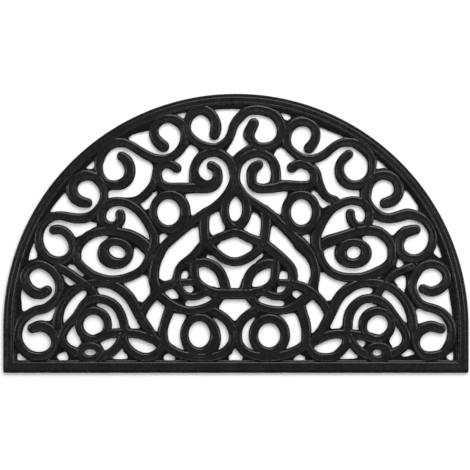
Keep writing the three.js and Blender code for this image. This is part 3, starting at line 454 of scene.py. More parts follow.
# Films left by the mould in the sharp corners, where the softly blended film leaves too much open.
# A row is one film's corners in order round it. Those inside the strands that it joins don't show.
RIM_WEBS = [
    [(-347, 104), (-343, 98.4), (-336, 100), (-350, 90)],
    [(-276, 34), (-286, 30), (-289.3, 25.5), (-284, 21), (-300, 18), (-296, 35), (-284, 48)],
    [(-273.5, 31), (-269.8, 25.5), (-272, 20), (-248, 16), (-262, 33)],
    [(-352.3, 29), (-349.5, 32.3), (-342, 26), (-356, 40)],
    [(-345, 29.5), (-340, 23), (-330, 18)],
    [(-201.7, 24), (-196, 20.5), (-210, 18)],
    [(-183, 36), (-174, 27), (-174, 24.5), (-178, 22), (-160, 18), (-172, 38)],
    [(-202, 22.2), (-176, 22.2), (-174, 18)],
    [(-105, 33), (-114, 29), (-117.5, 24), (-114, 20), (-135, 18), (-118, 38)],
    [(-96.9, 27), (-99, 19), (-80, 27)],
    [(-4, 33), (-12.5, 26), (-9, 21.7), (-30, 18), (-12, 36)],
    [(4, 34), (12.8, 24.5), (8, 21.7), (30, 18)],
    [(100, 28.5), (94, 25), (93.5, 20.5), (80, 18), (84, 30)],
    [(104, 28.7), (111, 26), (111.5, 20.5), (128, 18), (120, 34), (108, 36)],
    [(170, 22.5), (195, 23.3), (198, 18), (155, 18)],
    [(189, 33.5), (197.5, 26.5), (197, 24), (192, 23), (225, 18)],
    [(341, 25), (340.5, 21.8), (349, 21.8), (330, 18), (334, 30)],
    [(345, 31), (349.5, 33.5), (352, 40), (340, 38)],
    [(246, 18), (258, 34), (266, 30), (269, 26.2), (276, 26.8), (284, 29.8), (288.5, 29.3), (294, 34),
        (302, 18)],
    [(-326.2, 205.6), (-321.2, 195.6), (-320.6, 185.4), (-333.5, 182), (-336, 178), (-300, 178)],
    [(-275.5, 291.3), (-273, 286), (-268, 296)],
    [(-301, 260), (-285, 256), (-305, 258)],
    [(-242, 330), (-236, 328.3), (-229, 330), (-227.5, 334), (-220, 326), (-244, 322)],
    [(-171, 376.2), (-174.2, 379), (-168, 383.5), (-188, 374)],
    [(324, 204.5), (318, 194), (329, 185), (331, 187.5), (340, 178), (300, 182)],
    [(292, 267), (294.8, 262), (293, 260), (304, 258), (296, 268)],
    [(276, 291.5), (276, 300), (266, 302)],
    [(83, 416.7), (90, 413.7), (86, 408.6), (100, 414)],
    [(225.8, 329), (240.5, 331.2), (246, 326), (222, 322)],
]
LOWER_WEBS = [
    [(-306, 85), (-301, 83.3), (-296, 88), (-292.8, 98), (-288, 92), (-301, 76)],
    [(-279, 158), (-276, 148), (-268, 140.3), (-259.5, 143), (-282, 120)],
    [(-247, 153), (-246, 158), (-232, 152)],
    [(-271.5, 170.5), (-269, 175.5), (-261, 172.5), (-262, 184), (-278, 178)],
    [(-248, 136), (-241, 131), (-241.5, 125), (-246, 120), (-236, 116), (-236, 136)],
    [(-222, 137.8), (-224.4, 132.5), (-219, 126.5), (-228, 140)],
    [(-222, 112), (-226.5, 110), (-221, 106.5), (-235, 104), (-236, 114)],
    [(-254, 56), (-248.5, 50), (-253, 42), (-243, 44), (-243, 54)],
    [(-218.8, 47), (-215.5, 40.5), (-226, 52)],
    [(-9, 87), (-1.5, 83.3), (6, 87.5), (0, 74)],
    [(-20, 118.5), (-27, 107), (-27, 104), (-30, 99), (-30, 118)],
    [(-89, 158), (-85, 164), (-79, 165), (-76, 158), (-80, 151.5), (-70, 150), (-68, 172), (-84, 176)],
    [(-72, 141), (-67.4, 134.5), (-73, 128.5), (-55, 130), (-58, 142)],
    [(-101, 160), (-103.5, 150.5), (-116, 148), (-123, 153), (-130, 140), (-95, 140)],
    [(-157, 117), (-151, 113.2), (-146, 118), (-158, 106)],
    [(-150, 158), (-142.5, 156), (-141, 150), (-137, 175)],
    [(-182, 144), (-178, 139.5), (-190, 150)],
    [(-131, 68), (-127, 64.8), (-124.5, 76), (-126, 52)],
    [(-103, 120), (-93.5, 119.7), (-91.8, 124), (-96.5, 131.5), (-102, 135.5), (-88, 135), (-82, 118),
        (-96, 112)],
    [(-100, 118), (-76, 119), (-82, 112), (-80.5, 107.5)],
    [(-46, 125.5), (-39.2, 121), (-33, 128)],
    [(-102, 98), (-99, 95.8), (-80, 94), (-81, 88), (-85, 82), (-70, 100)],
    [(-30, 88), (-32, 103), (-56, 95), (-46, 90)],
    [(-153.5, 76), (-156, 71.5), (-170, 70.8), (-172, 78), (-176, 66), (-150, 62)],
    [(10, 152), (16, 150), (4, 132)],
    [(26.5, 139.5), (32, 137.5), (18, 138)],
    [(70.5, 158), (71, 162.5), (75, 165.2), (82.3, 161.5), (70, 180)],
    [(71, 140), (66.5, 138), (67.5, 130), (60, 130), (58, 146)],
    [(90.2, 130), (92, 124), (98, 120.2), (86, 118)],
    [(91, 131), (98, 133), (106, 128), (112, 138), (88, 142)],
    [(70, 117), (78, 115), (78, 109), (74, 107), (102, 112), (90, 124)],
    [(62, 96), (32, 88), (24, 98)],
    [(70, 94), (92, 96.3), (97, 95.5), (98, 90), (105, 100)],
    [(122.5, 63.3), (129, 67), (114, 58)],
    [(152, 118), (156, 112), (140, 112)],
    [(152.5, 76), (152.5, 70.8), (168, 71.5), (172, 78), (178, 68), (148, 60)],
    [(219, 112.3), (228.2, 108.8), (233, 104), (236, 115)],
    [(272, 84), (275, 81.3), (277, 70)],
    [(216, 137.2), (221.7, 133), (216, 126.5), (228, 122), (228, 140)],
    [(228, 150), (256, 170), (252, 146)],
    [(261, 183), (258.3, 171.5), (263, 168.3), (246, 166), (258, 188)],
    [(270, 180.5), (271, 174), (266.5, 170), (290, 172)],
    [(268, 157.5), (274.3, 154), (274.3, 138), (270.5, 133.8), (280, 125), (283, 160), (275, 166)],
    [(255.8, 148), (262, 140), (252, 138), (254, 154)],
    [(272, 132), (284, 128), (296, 104), (286, 98), (276, 112)],
    [(294, 79.3), (302, 80.5), (286, 76)],
    [(276, 36.5), (281, 38.3), (286, 33), (282, 50)],
    [(208.5, 51), (209.4, 47), (204, 40.5), (216, 40), (212, 54)],
    [(249.5, 56), (247.2, 51), (253.5, 40.8), (240, 42), (238, 54)],
]
UPPER_WEBS = [
    [(-250, 222.8), (-259, 217.8), (-263, 222), (-252, 212)],
    [(-236, 242.3), (-225, 242.3), (-224, 236.5), (-233, 232.8), (-222, 228), (-218, 252)],
    [(-210, 221.8), (-203.7, 219), (-210, 214.5), (-190, 226)],
    [(-205.3, 290), (-204, 294.5), (-192, 295), (-212, 302)],
    [(-188, 282), (-163, 284), (-160, 272)],
    [(-134, 291), (-126, 293.3), (-128, 287), (-118, 290), (-128, 303)],
    [(-154, 272), (-146.5, 262.5), (-139.8, 266), (-138, 248), (-162, 270)],
    [(-124, 208), (-122.8, 223), (-114, 225.6), (-111, 221), (-106, 224), (-124, 236), (-132, 226)],
    [(-163, 202.3), (-166.5, 190), (-170, 216), (-150, 200)],
    [(-36, 258.5), (-27, 260.8), (-25.3, 252), (-20, 262), (-38, 264)],
    [(-19.5, 237), (-17.3, 232), (-20.5, 228.8), (-10, 228)],
    [(-42.8, 232), (-41.5, 226), (-36.5, 221.3), (-38, 214), (-50, 232)],
    [(-12, 250), (-5, 245), (1, 244.8), (9, 252), (0, 230)],
    [(-47, 185.5), (-46.5, 191.6), (-38, 187), (-44, 203), (-66, 184)],
    [(-24, 210), (-31, 204.8), (-28.5, 199), (-36, 198), (-30, 214)],
    [(-70, 232), (-61, 236.2), (-58.8, 228), (-56, 240), (-68, 242)],
    [(-74, 262), (-72.3, 253.5), (-68, 253.5), (-80, 250)],
    [(-80.5, 283), (-81.8, 288), (-62, 290.5), (-90, 298), (-90, 286)],
    [(-142, 342.5), (-135.5, 337), (-133, 329), (-128, 326), (-130, 346)],
    [(-66, 363), (-60, 359.5), (-61.5, 354.5), (-52, 356)],
    [(-80, 361), (-73, 369), (-68, 365.5), (-76, 378)],
    [(-3, 378), (-10, 364.5), (-15, 357.5), (-22, 352), (-8, 384)],
    [(46, 304.7), (54, 308), (57, 322), (62, 300)],
    [(84, 293), (81, 284), (121, 290), (125, 295), (131, 290), (128, 300)],
    [(134.5, 271), (140, 265.3), (149.3, 271), (154, 268), (136, 246)],
    [(107.5, 221.5), (116, 225), (119.7, 220), (126, 234), (100, 226)],
    [(24.5, 256), (27, 259), (34, 256.5), (40, 248), (46, 252), (22, 272)],
    [(57, 232), (59, 238.3), (66, 234), (54, 244)],
    [(23, 209), (28.3, 205), (25, 199), (34, 198), (30, 212)],
    [(31, 178.5), (45, 189.5), (43.5, 193.3), (46, 204), (66, 184)],
    [(64, 258.5), (72, 254.5), (74.5, 261), (72, 246)],
    [(135.5, 161.5), (144, 161.5), (140, 172)],
    [(184, 295), (199.5, 294.3), (199.8, 290), (206, 302)],
    [(223, 248), (228, 247), (214, 250)],
    [(247, 224.5), (252.5, 220.8), (262, 230), (250, 210)],
    [(212, 222.3), (203.3, 219), (205, 215), (196, 214), (196, 228)],
    [(87, 409.5), (82.5, 406.7), (78, 409.5), (80, 398), (90, 402)],
    [(64, 359.5), (73.5, 363.9), (78, 359.5), (82, 366), (64, 368)],
    [(66, 360), (61.3, 351.5), (50, 358)],
]
# A film as thick as the mat, which fills a loop.
FULL_WEBS = [
    [(-61.5, 327), (-57, 316.5), (-48.5, 310), (-40.5, 311.3), (-36.5, 319), (-33, 312), (-40, 300),
        (-66, 302), (-66, 325)],
]

# The rubber's colour by height, as a share of the mat's: nearly black below the lip, paler above it.
# The near black low down is painted shade, darkening the feet, lower walls and films between the strands.
RUBBER_TONES_AND_PAINTED_SHADE = [
    (0, (0.001, 0.001, 0.001)),
    (0.58, (0.0015, 0.0016, 0.0016)),
    (0.62, (0.0048, 0.0052, 0.005)),
    (1, (0.0058, 0.0063, 0.006)),
]
MOTTLE_TONES = [(0.3, (0.6, 0.62, 0.63)), (0.7, (1.5, 1.5, 1.46))]  # that the colour is multiplied by
DUST = (0.045, 0.047, 0.046)
FLOOR_TONES = [(0.3, (0.93, 0.93, 0.93)), (0.7, (0.95, 0.95, 0.95))]

# How many metres across the features of each noise are.
MOTTLE_SIZE = 0.03
DUST_SIZE = 0.0016
SHEEN_SIZE = 0.009
FINE_SHEEN_SIZE = 0.0012
GRAIN_SIZE = 0.0007
RIPPLE_SIZE = 0.005
FLOOR_SIZE = 0.4

# From here on, metres and watts. The lights all aim at the mat's middle: name, place, size, power.
LIGHTS = [
    ("key", (0.55, 2.0, 1.8), (3.0, 1.9), 101),
    ("left_strip", (-2.0, 0.1, 1.9), (0.5, 2.0), 19),
    ("right_strip", (2.0, 0.1, 1.9), (0.5, 2.0), 21),
    ("front_strip", (0, -2.0, 1.9), (2.0, 0.4), 14),
]
WORLD_LIGHT = 0.1
FLOOR_HALF = 4
VIEW_WIDTH = 0.7579  # what the camera sees from side to side
VIEW_LEVEL = 0.002  # at this height
VIEW_CENTRE = (-0.0015, -0.0028)
LENS = 120  # millimetres, as is the sensor
SENSOR = 36


def eased(rows, at):
    """The value at a place, eased between the rows (place, value) on either side of it."""
    for (low, before), (high, after) in zip(rows, rows[1:]):
        if at <= high:
            share = max(0.0, (at - low) / (high - low))
            return before + (after - before) * share * share * (3 - 2 * share)
    return rows[-1][1]


def segment(a, b, c, d):
    """A centripetal Catmull-Rom span from b to c, as a function of 0 to 1 that gives its point."""
    first, middle, last = ((q - p).length ** 0.5 for p, q in ((a, b), (b, c), (c, d)))
    leave = (b - a) / first - (c - a) / (first + middle) + (c - b) / middle
    arrive = (c - b) / middle - (d - b) / (middle + last) + (d - c) / last
    leave, arrive = leave * middle, arrive * middle

    def point(t):
        return (
            b * (2 * t**3 - 3 * t**2 + 1)
            + leave * (t**3 - 2 * t**2 + t)
            + c * (3 * t**2 - 2 * t**3)
            + arrive * (t**3 - t**2)
        )

    return point


def route(stations):
    """Close samples (point, direction, half width) along a strand."""
    knots = [Vector(s[:2]) for s in stations]
    knots = [knots[0] * 2 - knots[1], *knots, knots[-1] * 2 - knots[-2]]
    points = []
    marks = [0]
    for i in range(len(stations) - 1):
        span = segment(*knots[i : i + 4])
        turn = (knots[i + 2] - knots[i]).angle(knots[i + 3] - knots[i + 1])
        length = (knots[i + 2] - knots[i + 1]).length
        steps = math.ceil(max(length / LONGEST_STEP, turn / BEND_STEP))
        points.extend(span(k / steps) for k in range(steps))
        marks.append(len(points))
    points.append(knots[-2])
    lengths = [0.0]
    for p, q in zip(points, points[1:]):
        lengths.append(lengths[-1] + (q - p).length)
    widths = [(lengths[marks[i]], s[2]) for i, s in enumerate(stations) if len(s) == 3]
    samples = []
    for i, p in enumerate(points):
        ahead = points[min(i + 1, len(points) - 1)]
        behind = points[max(i - 1, 0)]
        samples.append((p, (ahead - behind).normalized(), eased(widths, lengths[i]) / 2 + SPREAD))
    return samples


class Shell:
    """Vertices in millimetres and faces, which become one closed object."""

    def __init__(self):
        self.points = []
        self.faces = []

    def row(self, points):
        first = len(self.points)
        self.points.extend(points)
        return list(range(first, first + len(points)))

    def join(self, here, there):
        """Quads between two rows of the same length, closed into a tube."""
        for j in range(len(here)):
            k = (j + 1) % len(here)
            self.faces.append((here[j], here[k], there[k], there[j]))

    def object(self, name):
        mesh = bpy.data.meshes.new(name)
        middle = (STRAIGHT + RADIUS) / 2
        places = [(x * SCALE, (y - middle) * SCALE, z * SCALE) for x, y, z in self.points]
        mesh.from_pydata(places, [], self.faces)
        work = bmesh.new()
        work.from_mesh(mesh)
        bmesh.ops.recalc_face_normals(work, faces=work.faces)
        if work.calc_volume(signed=True) < 0:
            bmesh.ops.reverse_faces(work, faces=work.faces)
        work.to_mesh(mesh)
        work.free()
        piece = bpy.data.objects.new(name, mesh)
        bpy.context.scene.collection.objects.link(piece)
        return piece


def section_row(point, across, half, sink=0.0):
    """A strand's section, from its right foot over the crown to its left, uneven as moulded rubber is."""
    sunk = CROWN_DIP * noise.noise(Vector((point.x, point.y, 0)) / DIP_LENGTH)
    drift = SHOULDER_DRIFT * noise.noise(Vector((point.x, point.y, 50)) / DRIFT_LENGTH)
    right = [(-share, z) for share, z in STRAND_SECTION]
    left = [(share, z) for share, z in reversed(STRAND_SECTION[:-1])]
    row = []
    for share, z in right + left:
        place = point + across * (half * share + drift * (1 - share * share))
        lowered = z - (CROWN_DIP + sunk + sink) * z / HEIGHT
        row.append((place.x, place.y, lowered))
    return row


def round_end(shell, row, point, along, across, half, reach):
    """Closes a strand with half a turn of its section, so that its end is as round as its sides."""
    crown = len(STRAND_SECTION) - 1
    crown_point = Vector(shell.points[row[crown]])
    centre = crown_point.xy - point
    scale = crown_point.z / STRAND_SECTION[-1][1]
    previous = row[: crown + 1]
    rim = [row[0]]
    for k in range(1, TIP_FAN + 1):
        if k == TIP_FAN:
            current = list(reversed(row[crown:]))
        else:
            angle = math.pi * k / TIP_FAN
            way = along * reach * math.sin(angle) - across * math.cos(angle)
            fan = []
            for share, z in STRAND_SECTION[:-1]:
                place = point + way * half * share + centre * (1 - share * share)
                fan.append((place.x, place.y, z * scale))
            current = shell.row(fan) + [row[crown]]
        for j in range(crown - 1):
            shell.faces.append((previous[j], previous[j + 1], current[j + 1], current[j]))
        shell.faces.append((previous[crown - 1], row[crown], current[crown - 1]))
        previous = current
        rim.append(current[0])
    shell.faces.append(tuple(rim))


def strand_object(data):
    samples = route(data["stations"])
    joined = [samples[i][0] for i, end in ((0, data["start"]), (-1, data["end"])) if end == "in"]
    shell = Shell()
    rows = []
    for point, direction, half in samples:
        across = Vector((-direction.y, direction.x))
        near = min(((point - end).length for end in joined), default=IN_SINK_LENGTH)
        sink = IN_SINK * max(0, 1 - near / IN_SINK_LENGTH)
        rows.append(shell.row(section_row(point, across, half, sink)))
    for here, there in zip(rows, rows[1:]):
        shell.join(here, there)
    for end, row, (point, direction, half), side in (
        (data["start"], rows[0], samples[0], -1),
        (data["end"], rows[-1], samples[-1], 1),
    ):
        across = Vector((-direction.y, direction.x))
        reach = TIP_REACH if end == "tip" else IN_REACH
        round_end(shell, row, point, direction * side, across, half, reach)
    return shell.object(data["name"])


def on_ellipse(shape, angle):
    turn = shape["tilt"]
    u = shape["half_x"] * math.cos(angle - turn)
    v = shape["half_y"] * math.sin(angle - turn)
    x = shape["x"] + u * math.cos(turn) - v * math.sin(turn)
    y = shape["y"] + u * math.sin(turn) + v * math.cos(turn)
    return Vector((x, y))


def ring_object(number, outer, hole):
    shell = Shell()
    rows = []
    for i in range(RING_STEPS):
        angle = math.tau * i / RING_STEPS
        inside, outside = on_ellipse(hole, angle), on_ellipse(outer, angle)
        across = (outside - inside).normalized()
        half = (outside - inside).length / 2 + SPREAD
        rows.append(shell.row(section_row((inside + outside) / 2, across, half)))
    for i, row in enumerate(rows):
        shell.join(row, rows[(i + 1) % RING_STEPS])
    return shell.object(f"ring_{number}")


def rounded(outline):
    """The outline in short steps, smoothed into a film's soft edge."""
    points = []
    for i, corner in enumerate(outline):
        way = outline[(i + 1) % len(outline)] - corner
        steps = max(1, round(way.length / WEB_STEP))
        points.extend(corner + way * (k / steps) for k in range(steps))
    for _ in range(WEB_SMOOTHING):
        ahead = points[1:] + points[:1]
        points = [(points[i - 1] + point * 2 + ahead[i]) / 4 for i, point in enumerate(points)]
    return points


def full_web_object(outline):
    shell = Shell()
    corners = rounded([Vector(p) for p in outline])
    low = shell.row([(p.x, p.y, 0) for p in corners])
    high = shell.row([(p.x, p.y, FULL_WEB) for p in corners])
    shell.join(low, high)
    shell.faces.append(tuple(reversed(low)))
    shell.faces.append(tuple(high))
    return shell.object("full_web")


class Field:
    """A grid over the mat that blends the distances to its strands, rings, rim and films."""

    def __init__(self):
        self.x = np.arange(-RADIUS - FIELD_MARGIN, RADIUS + FIELD_MARGIN, FIELD_STEP)
        self.y = np.arange(-FIELD_MARGIN, STRAIGHT + RADIUS + FIELD_MARGIN, FIELD_STEP)
        self.total = np.zeros((len(self.y), len(self.x)))

    def window(self, points, reach):
        """The grid's rows and columns within reach of the points, and the places there."""
        spans = []
        for axis, values in ((0, self.x), (1, self.y)):
            low = min(p[axis] for p in points) - reach
            high = max(p[axis] for p in points) + reach
            spans.append(slice(int(np.searchsorted(values, low)), int(np.searchsorted(values, high))))
        columns, rows = spans
        return rows, columns, *np.meshgrid(self.x[columns], self.y[rows])

    def to_segment(self, x, y, p, q):
        """Distances to a segment, and how far along it each nearest point lies."""
        way = q - p
        along = ((x - p.x) * way.x + (y - p.y) * way.y) / max(way.length_squared, TINY)
        along = np.clip(along, 0, 1)
        return np.hypot(x - p.x - along * way.x, y - p.y - along * way.y), along

    def add_line(self, samples):
        """A strand, as samples (point, half width)."""
        near = np.full_like(self.total, FIELD_REACH)
        for (p, a), (q, b) in zip(samples, samples[1:]):
            rows, columns, x, y = self.window((p, q), max(a, b) + FIELD_REACH)
            distance, along = self.to_segment(x, y, p, q)
            part = near[rows, columns]
            np.minimum(part, distance - (a + (b - a) * along), out=part)
        self.blend(near)

    def add_outline(self, outline):
        """A film, as a closed outline."""
        near = np.full_like(self.total, FIELD_REACH)
        rows, columns, x, y = self.window(outline, FIELD_REACH)
        distance = np.full_like(x, FIELD_REACH)
        inside = np.zeros_like(x, dtype=bool)
        for p, q in zip(outline, outline[1:] + outline[:1]):
            np.minimum(distance, self.to_segment(x, y, p, q)[0], out=distance)
            if p.y != q.y:
                crossing = (p.y > y) != (q.y > y)
                inside ^= crossing & (x < p.x + (q.x - p.x) * (y - p.y) / (q.y - p.y))
        near[rows, columns] = np.where(inside, -distance, distance)
        self.blend(near)

    def blend(self, near):
        """Adds one form, by the distances to it. The sum grows softly towards the forms."""
        self.total += np.where(near < FIELD_REACH, np.exp(-near / BLEND), 0)

    def outline(self):
        """Points and edges of the line where the blended distance is that of the film's side."""
        value = FILM_INSET - BLEND * np.log(np.maximum(self.total, TINY))
        inside = value < 0
        points = []
        found = {}

        def crossing(a, b):
            key = (min(a, b), max(a, b))
            if key not in found:
                share = value[a] / (value[a] - value[b])
                spots = [Vector((self.x[column], self.y[row])) for row, column in (a, b)]
                found[key] = len(points)
                points.append(spots[0].lerp(spots[1], share))
            return found[key]

        corners = inside[:-1, :-1].astype(int) + inside[:-1, 1:] + inside[1:, :-1] + inside[1:, 1:]
        edges = []
        for row, column in np.argwhere((corners > 0) & (corners < 4)).tolist():
            ring = [(row, column), (row, column + 1), (row + 1, column + 1), (row + 1, column)]
            crossed = [
                crossing(a, b) for a, b in zip(ring, ring[1:] + ring[:1]) if inside[a] != inside[b]
            ]
            edges.extend(zip(crossed[::2], crossed[1::2]))
        return points, edges, value

    def between(self, value, spot):
        """The value at a place between the grid's points."""
        column, share_x = divmod((spot.x - self.x[0]) / FIELD_STEP, 1)
        row, share_y = divmod((spot.y - self.y[0]) / FIELD_STEP, 1)
        part = value[int(row) : int(row) + 2, int(column) : int(column) + 2]
        if part.shape != (2, 2):
            return FIELD_REACH
        low, high = part @ (1 - share_x, share_x)
        return low + (high - low) * share_y


def film_object(strands, rim_plan):
    """The low film under the whole mat, which shows only in the corners that it rounds."""
    field = Field()
    for row in strands:
        field.add_line([(point, half) for point, _, half in route(row["stations"])])
    for outer, hole in RINGS:
        turns = [math.tau * i / RING_STEPS for i in range(RING_STEPS + 1)]
        across = [(on_ellipse(hole, turn), on_ellipse(outer, turn)) for turn in turns]
        field.add_line([((a + b) / 2, (b - a).length / 2 + SPREAD) for a, b in across])
    plan = rim_plan + rim_plan[:1]
    field.add_line([((outer + inner) / 2, width / 2) for outer, inner, width in plan])
    for outline in RIM_WEBS + LOWER_WEBS + UPPER_WEBS:
        field.add_outline(rounded([Vector(p) for p in outline]))
    points, edges, value = field.outline()
    spots, _, triangles, *_ = delaunay_2d_cdt(points, edges, [], 0, MERGE)
    kept = []
    for triangle in triangles:
        centre = sum((spots[i] for i in triangle), Vector((0, 0))) / 3
        if field.between(value, centre) < 0:
            kept.append(triangle)
    shell = Shell()
    low = shell.row([(p.x, p.y, 0) for p in spots])
    high = shell.row([(p.x, p.y, FILM) for p in spots])
    sides = {}
    for triangle in kept:
        shell.faces.append(tuple(high[i] for i in triangle))
        shell.faces.append(tuple(low[i] for i in reversed(triangle)))
        for a, b in zip(triangle, triangle[1:] + triangle[:1]):
            if (b, a) in sides:
                del sides[b, a]
            else:
                sides[a, b] = True
    for a, b in sides:
        shell.faces.append((low[a], low[b], high[b], high[a]))
    return shell.object("film")


def rim_row(shell, outer, inner, width):
    """The rim's section between two points in plan, stretched to reach from one to the other."""
    way = (inner - outer) / width
    section = [(min(inset, width - spare), z) for inset, z, spare in RIM_SECTION]
    section += [(width - short, z) for short, z in LEDGE_EDGE]
    return shell.row([(outer.x + way.x * inset, outer.y + way.y * inset, z) for inset, z in section])


def corner_rows(side, width):
    """The (outer, inner, width) of the sections round a square corner, from its side to its foot."""
    rows = []
    for k in range(CORNER_FAN + 1):
        angle = math.pi / 2 * k / CORNER_FAN
        way = Vector((math.cos(angle), -math.sin(angle)))
        outer = Vector((RADIUS - CORNER_OUTER, CORNER_OUTER)) + way * CORNER_OUTER
        inner = Vector((RADIUS - width - CORNER_INNER, FOOT_WIDTH + CORNER_INNER)) + way * CORNER_INNER
        share = k / CORNER_FAN
        across = width + (FOOT_WIDTH - width) * share
        rows.append((Vector((outer.x * side, outer.y)), Vector((inner.x * side, inner.y)), across))
    return rows


def rim_plan():
    """The rim all the way round, as (outer point, inner point, width)."""
    plan = []
    for i in range(round(180 / ARC_STEP) + 1):
        angle = i * ARC_STEP
        way = Vector((math.cos(math.radians(angle)), math.sin(math.radians(angle))))
        centre = Vector((0, STRAIGHT))
        width = eased(RIM_WIDTHS, angle)
        plan.append((centre + way * RADIUS, centre + way * (RADIUS - width), width))

    def side_rows(side, top, width):
        """One straight side, from the half round down to where its corner starts."""
        widths = [(CORNER_OUTER, width), (SIDE_TOP, width), (STRAIGHT, top)]
        for k in range(1, SIDE_STEPS):
            y = STRAIGHT + (CORNER_OUTER + CORNER_INNER + FOOT_WIDTH - STRAIGHT) * k / SIDE_STEPS
            across = eased(widths, y)
            yield Vector((side * RADIUS, y)), Vector((side * (RADIUS - across), y)), across

    plan.extend(side_rows(-1, RIM_WIDTHS[-1][1], SIDE_WIDTHS["left"]))
    plan.extend(corner_rows(-1, SIDE_WIDTHS["left"]))
    low = RADIUS - SIDE_WIDTHS["left"] - CORNER_INNER
    high = RADIUS - SIDE_WIDTHS["right"] - CORNER_INNER
    steps = round((low + high) / STRAIGHT_STEP)
    for k in range(1, steps):
        x = -low + (low + high) * k / steps
        plan.append((Vector((x, 0)), Vector((x, FOOT_WIDTH)), FOOT_WIDTH))
    plan.extend(reversed(corner_rows(1, SIDE_WIDTHS["right"])))
    plan.extend(reversed(list(side_rows(1, RIM_WIDTHS[0][1], SIDE_WIDTHS["right"]))))
    return plan


def rim_object(plan):
    shell = Shell()
    rows = [rim_row(shell, *row) for row in plan]
    for i, row in enumerate(rows):
        shell.join(row, rows[(i + 1) % len(rows)])
    return shell.object("rim")


def united(piece, other):
    """Piece becomes the union of the two, and the other is removed."""
    step = piece.modifiers.new("join", "BOOLEAN")
    step.operation = "UNION"
    step.solver = "MANIFOLD"
    step.object = other
    solved = piece.evaluated_get(bpy.context.evaluated_depsgraph_get())
    mesh = bpy.data.meshes.new_from_object(solved)
    piece.modifiers.clear()
    old = [piece.data, other.data]
    piece.data = mesh
    bpy.data.objects.remove(other)
    for spent in old:
        bpy.data.meshes.remove(spent)
    return piece


def moulding():
    """The whole mat in one piece, joined from its parts in pairs."""
    strands = SCROLLS + HEART + BROWS + ARCHES + BASE + KNOTS + EYE
    plan = rim_plan()
    pieces = [rim_object(plan), film_object(strands, plan)]
    pieces += [strand_object(row) for row in strands]
    pieces += [ring_object(i, outer, hole) for i, (outer, hole) in enumerate(RINGS)]
    pieces += [full_web_object(outline) for outline in FULL_WEBS]
    while len(pieces) > 1:
        pairs = zip(pieces[::2], pieces[1::2])
        left_over = pieces[len(pieces) - 1 :] if len(pieces) % 2 else []
        pieces = [united(a, b) for a, b in pairs] + left_over
    mat = pieces[0]
    mat.name = mat.data.name = "rubber_mat"
    return mat


class Nodes:
    """Adds shader nodes to a new material and links them by name."""

    def __init__(self, name):
        self.material = bpy.data.materials.new(name)
        self.material.use_nodes = True
        self.tree = self.material.node_tree
        self.shader = self.tree.nodes["Principled BSDF"]

    def add(self, kind, values=(), **settings):
        node = self.tree.nodes.new(kind)
        for key, value in settings.items():
            setattr(node, key, value)
        for key, value in dict(values).items():
            node.inputs[key].default_value = value
        return node

    def link(self, source, target):
        self.tree.links.new(source, target)

    def noise(self, place, size, detail=3, roughness=0.55):
        """Noise whose features are about that many metres across."""
        node = self.add("ShaderNodeTexNoise", {"Scale": 1 / size, "Detail": detail, "Roughness": roughness})
        self.link(place, node.inputs["Vector"])
        return node.outputs["Fac"]

    def ramp(self, value, stops):
        node = self.add("ShaderNodeValToRGB")
        while len(node.color_ramp.elements) < len(stops):
            node.color_ramp.elements.new(1)
        for element, (position, color) in zip(node.color_ramp.elements, stops):
            element.position = position
            element.color = (*color, 1)
        self.link(value, node.inputs["Fac"])
        return node.outputs["Color"]

    def spread(self, value, low, high, to_low, to_high):
        """The value's range low to high, moved to another range and held inside it."""
        node = self.add(
            "ShaderNodeMapRange",
            {"From Min": low, "From Max": high, "To Min": to_low, "To Max": to_high},
        )
        self.link(value, node.inputs["Value"])
        return node.outputs["Result"]

    def blended(self, kind, factor, a, b):
        """Two colours mixed: factor is a number or an output."""
        node = self.add("ShaderNodeMix", data_type="RGBA", blend_type=kind)
        for socket, value in ((node.inputs[0], factor), (node.inputs[6], a), (node.inputs[7], b)):
            if isinstance(value, (int, float)):
                socket.default_value = value
            elif isinstance(value, tuple):
                socket.default_value = (*value, 1)
            else:
                self.link(value, socket)
        return node.outputs[2]

    def added(self, *values):
        total = values[0]
        for value in values[1:]:
            node = self.add("ShaderNodeMath", operation="ADD")
            self.link(total, node.inputs[0])
            self.link(value, node.inputs[1])
            total = node.outputs[0]
        return total


def rubber_material():
    """Black moulded rubber: mottled, a little dusty on its crowns, finely grained, with painted shade
    darkening it low down.
    """
    nodes = Nodes("black_rubber")
    place = nodes.add("ShaderNodeTexCoord").outputs["Object"]
    xyz = nodes.add("ShaderNodeSeparateXYZ")
    nodes.link(place, xyz.inputs[0])
    height = nodes.spread(xyz.outputs["Z"], 0, HEIGHT * SCALE, 0, 1)
    # Painted shade: the rubber's tone is darkened by height below the lip.
    tone_and_painted_shade = nodes.ramp(height, RUBBER_TONES_AND_PAINTED_SHADE)
    mottle = nodes.ramp(nodes.noise(place, MOTTLE_SIZE, detail=4), MOTTLE_TONES)
    color = nodes.blended("MULTIPLY", 1.0, tone_and_painted_shade, mottle)
    specks = nodes.spread(nodes.noise(place, DUST_SIZE, detail=2), 0.62, 0.78, 0, 0.35)
    color = nodes.blended("MIX", specks, color, DUST)
    nodes.link(color, nodes.shader.inputs["Base Color"])
    rough = nodes.added(
        nodes.spread(nodes.noise(place, SHEEN_SIZE, detail=4, roughness=0.7), 0.3, 0.7, 0.19, 0.33),
        nodes.spread(nodes.noise(place, FINE_SHEEN_SIZE, detail=2), 0.35, 0.7, -0.03, 0.05),
    )
    nodes.link(rough, nodes.shader.inputs["Roughness"])
    grain = nodes.added(
        nodes.spread(nodes.noise(place, GRAIN_SIZE, detail=3), 0, 1, 0, 0.35),
        nodes.spread(nodes.noise(place, RIPPLE_SIZE, detail=3), 0, 1, 0, 1.6),
    )
    bump = nodes.add("ShaderNodeBump", {"Strength": 0.3, "Distance": 0.0006})
    nodes.link(grain, bump.inputs["Height"])
    nodes.link(bump.outputs["Normal"], nodes.shader.inputs["Normal"])
    nodes.shader.inputs["IOR"].default_value = 1.45
    return nodes.material


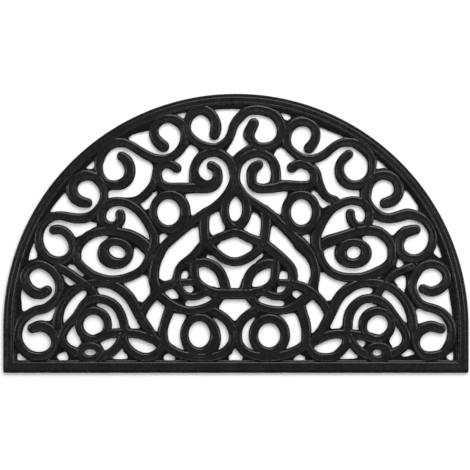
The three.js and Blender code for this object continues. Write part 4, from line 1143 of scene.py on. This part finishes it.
def floor_material():
    nodes = Nodes("pale_floor")
    place = nodes.add("ShaderNodeTexCoord").outputs["Object"]
    tone = nodes.ramp(nodes.noise(place, FLOOR_SIZE, detail=2), FLOOR_TONES)
    nodes.link(tone, nodes.shader.inputs["Base Color"])
    nodes.shader.inputs["Roughness"].default_value = 0.9
    nodes.shader.inputs["Specular IOR Level"].default_value = 0.1
    return nodes.material


def area_light(name, place, size, power):
    data = bpy.data.lights.new(name, "AREA")
    data.shape = "RECTANGLE"
    data.size, data.size_y = size
    data.energy = power
    light = bpy.data.objects.new(name, data)
    light.location = place
    light.rotation_euler = (Vector() - Vector(place)).to_track_quat("-Z", "Y").to_euler()
    bpy.context.scene.collection.objects.link(light)


def make_floor():
    mesh = bpy.data.meshes.new("floor")
    corners = [(x * FLOOR_HALF, y * FLOOR_HALF, 0) for x, y in ((-1, -1), (1, -1), (1, 1), (-1, 1))]
    mesh.from_pydata(corners, [], [(0, 1, 2, 3)])
    floor = bpy.data.objects.new("floor", mesh)
    bpy.context.scene.collection.objects.link(floor)
    mesh.materials.append(floor_material())
    floor.visible_glossy = False  # the rubber mirrors a dark room, though it lies on white


def make_camera():
    """Straight above the mat, which fills the photograph's width."""
    data = bpy.data.cameras.new("camera")
    data.lens = LENS
    data.sensor_width = SENSOR
    camera = bpy.data.objects.new("camera", data)
    camera.location = (*VIEW_CENTRE, VIEW_WIDTH * LENS / SENSOR + VIEW_LEVEL)
    bpy.context.scene.collection.objects.link(camera)
    bpy.context.scene.camera = camera


def make_lights():
    bpy.context.scene.view_settings.view_transform = "Standard"
    world = bpy.data.worlds.new("studio")
    world.use_nodes = True
    background = world.node_tree.nodes["Background"]
    background.inputs["Color"].default_value = (1, 1, 1, 1)
    background.inputs["Strength"].default_value = WORLD_LIGHT
    bpy.context.scene.world = world
    for name, place, size, power in LIGHTS:
        area_light(name, place, size, power)


make_camera()
make_lights()
make_floor()

mat = moulding()
mat.data.materials.clear()
mat.data.materials.append(rubber_material())
mat.data.polygons.foreach_set("use_smooth", [True] * len(mat.data.polygons))
mat.data.set_sharp_from_angle(angle=SHARP)
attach(mat, "root")
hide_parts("mat")
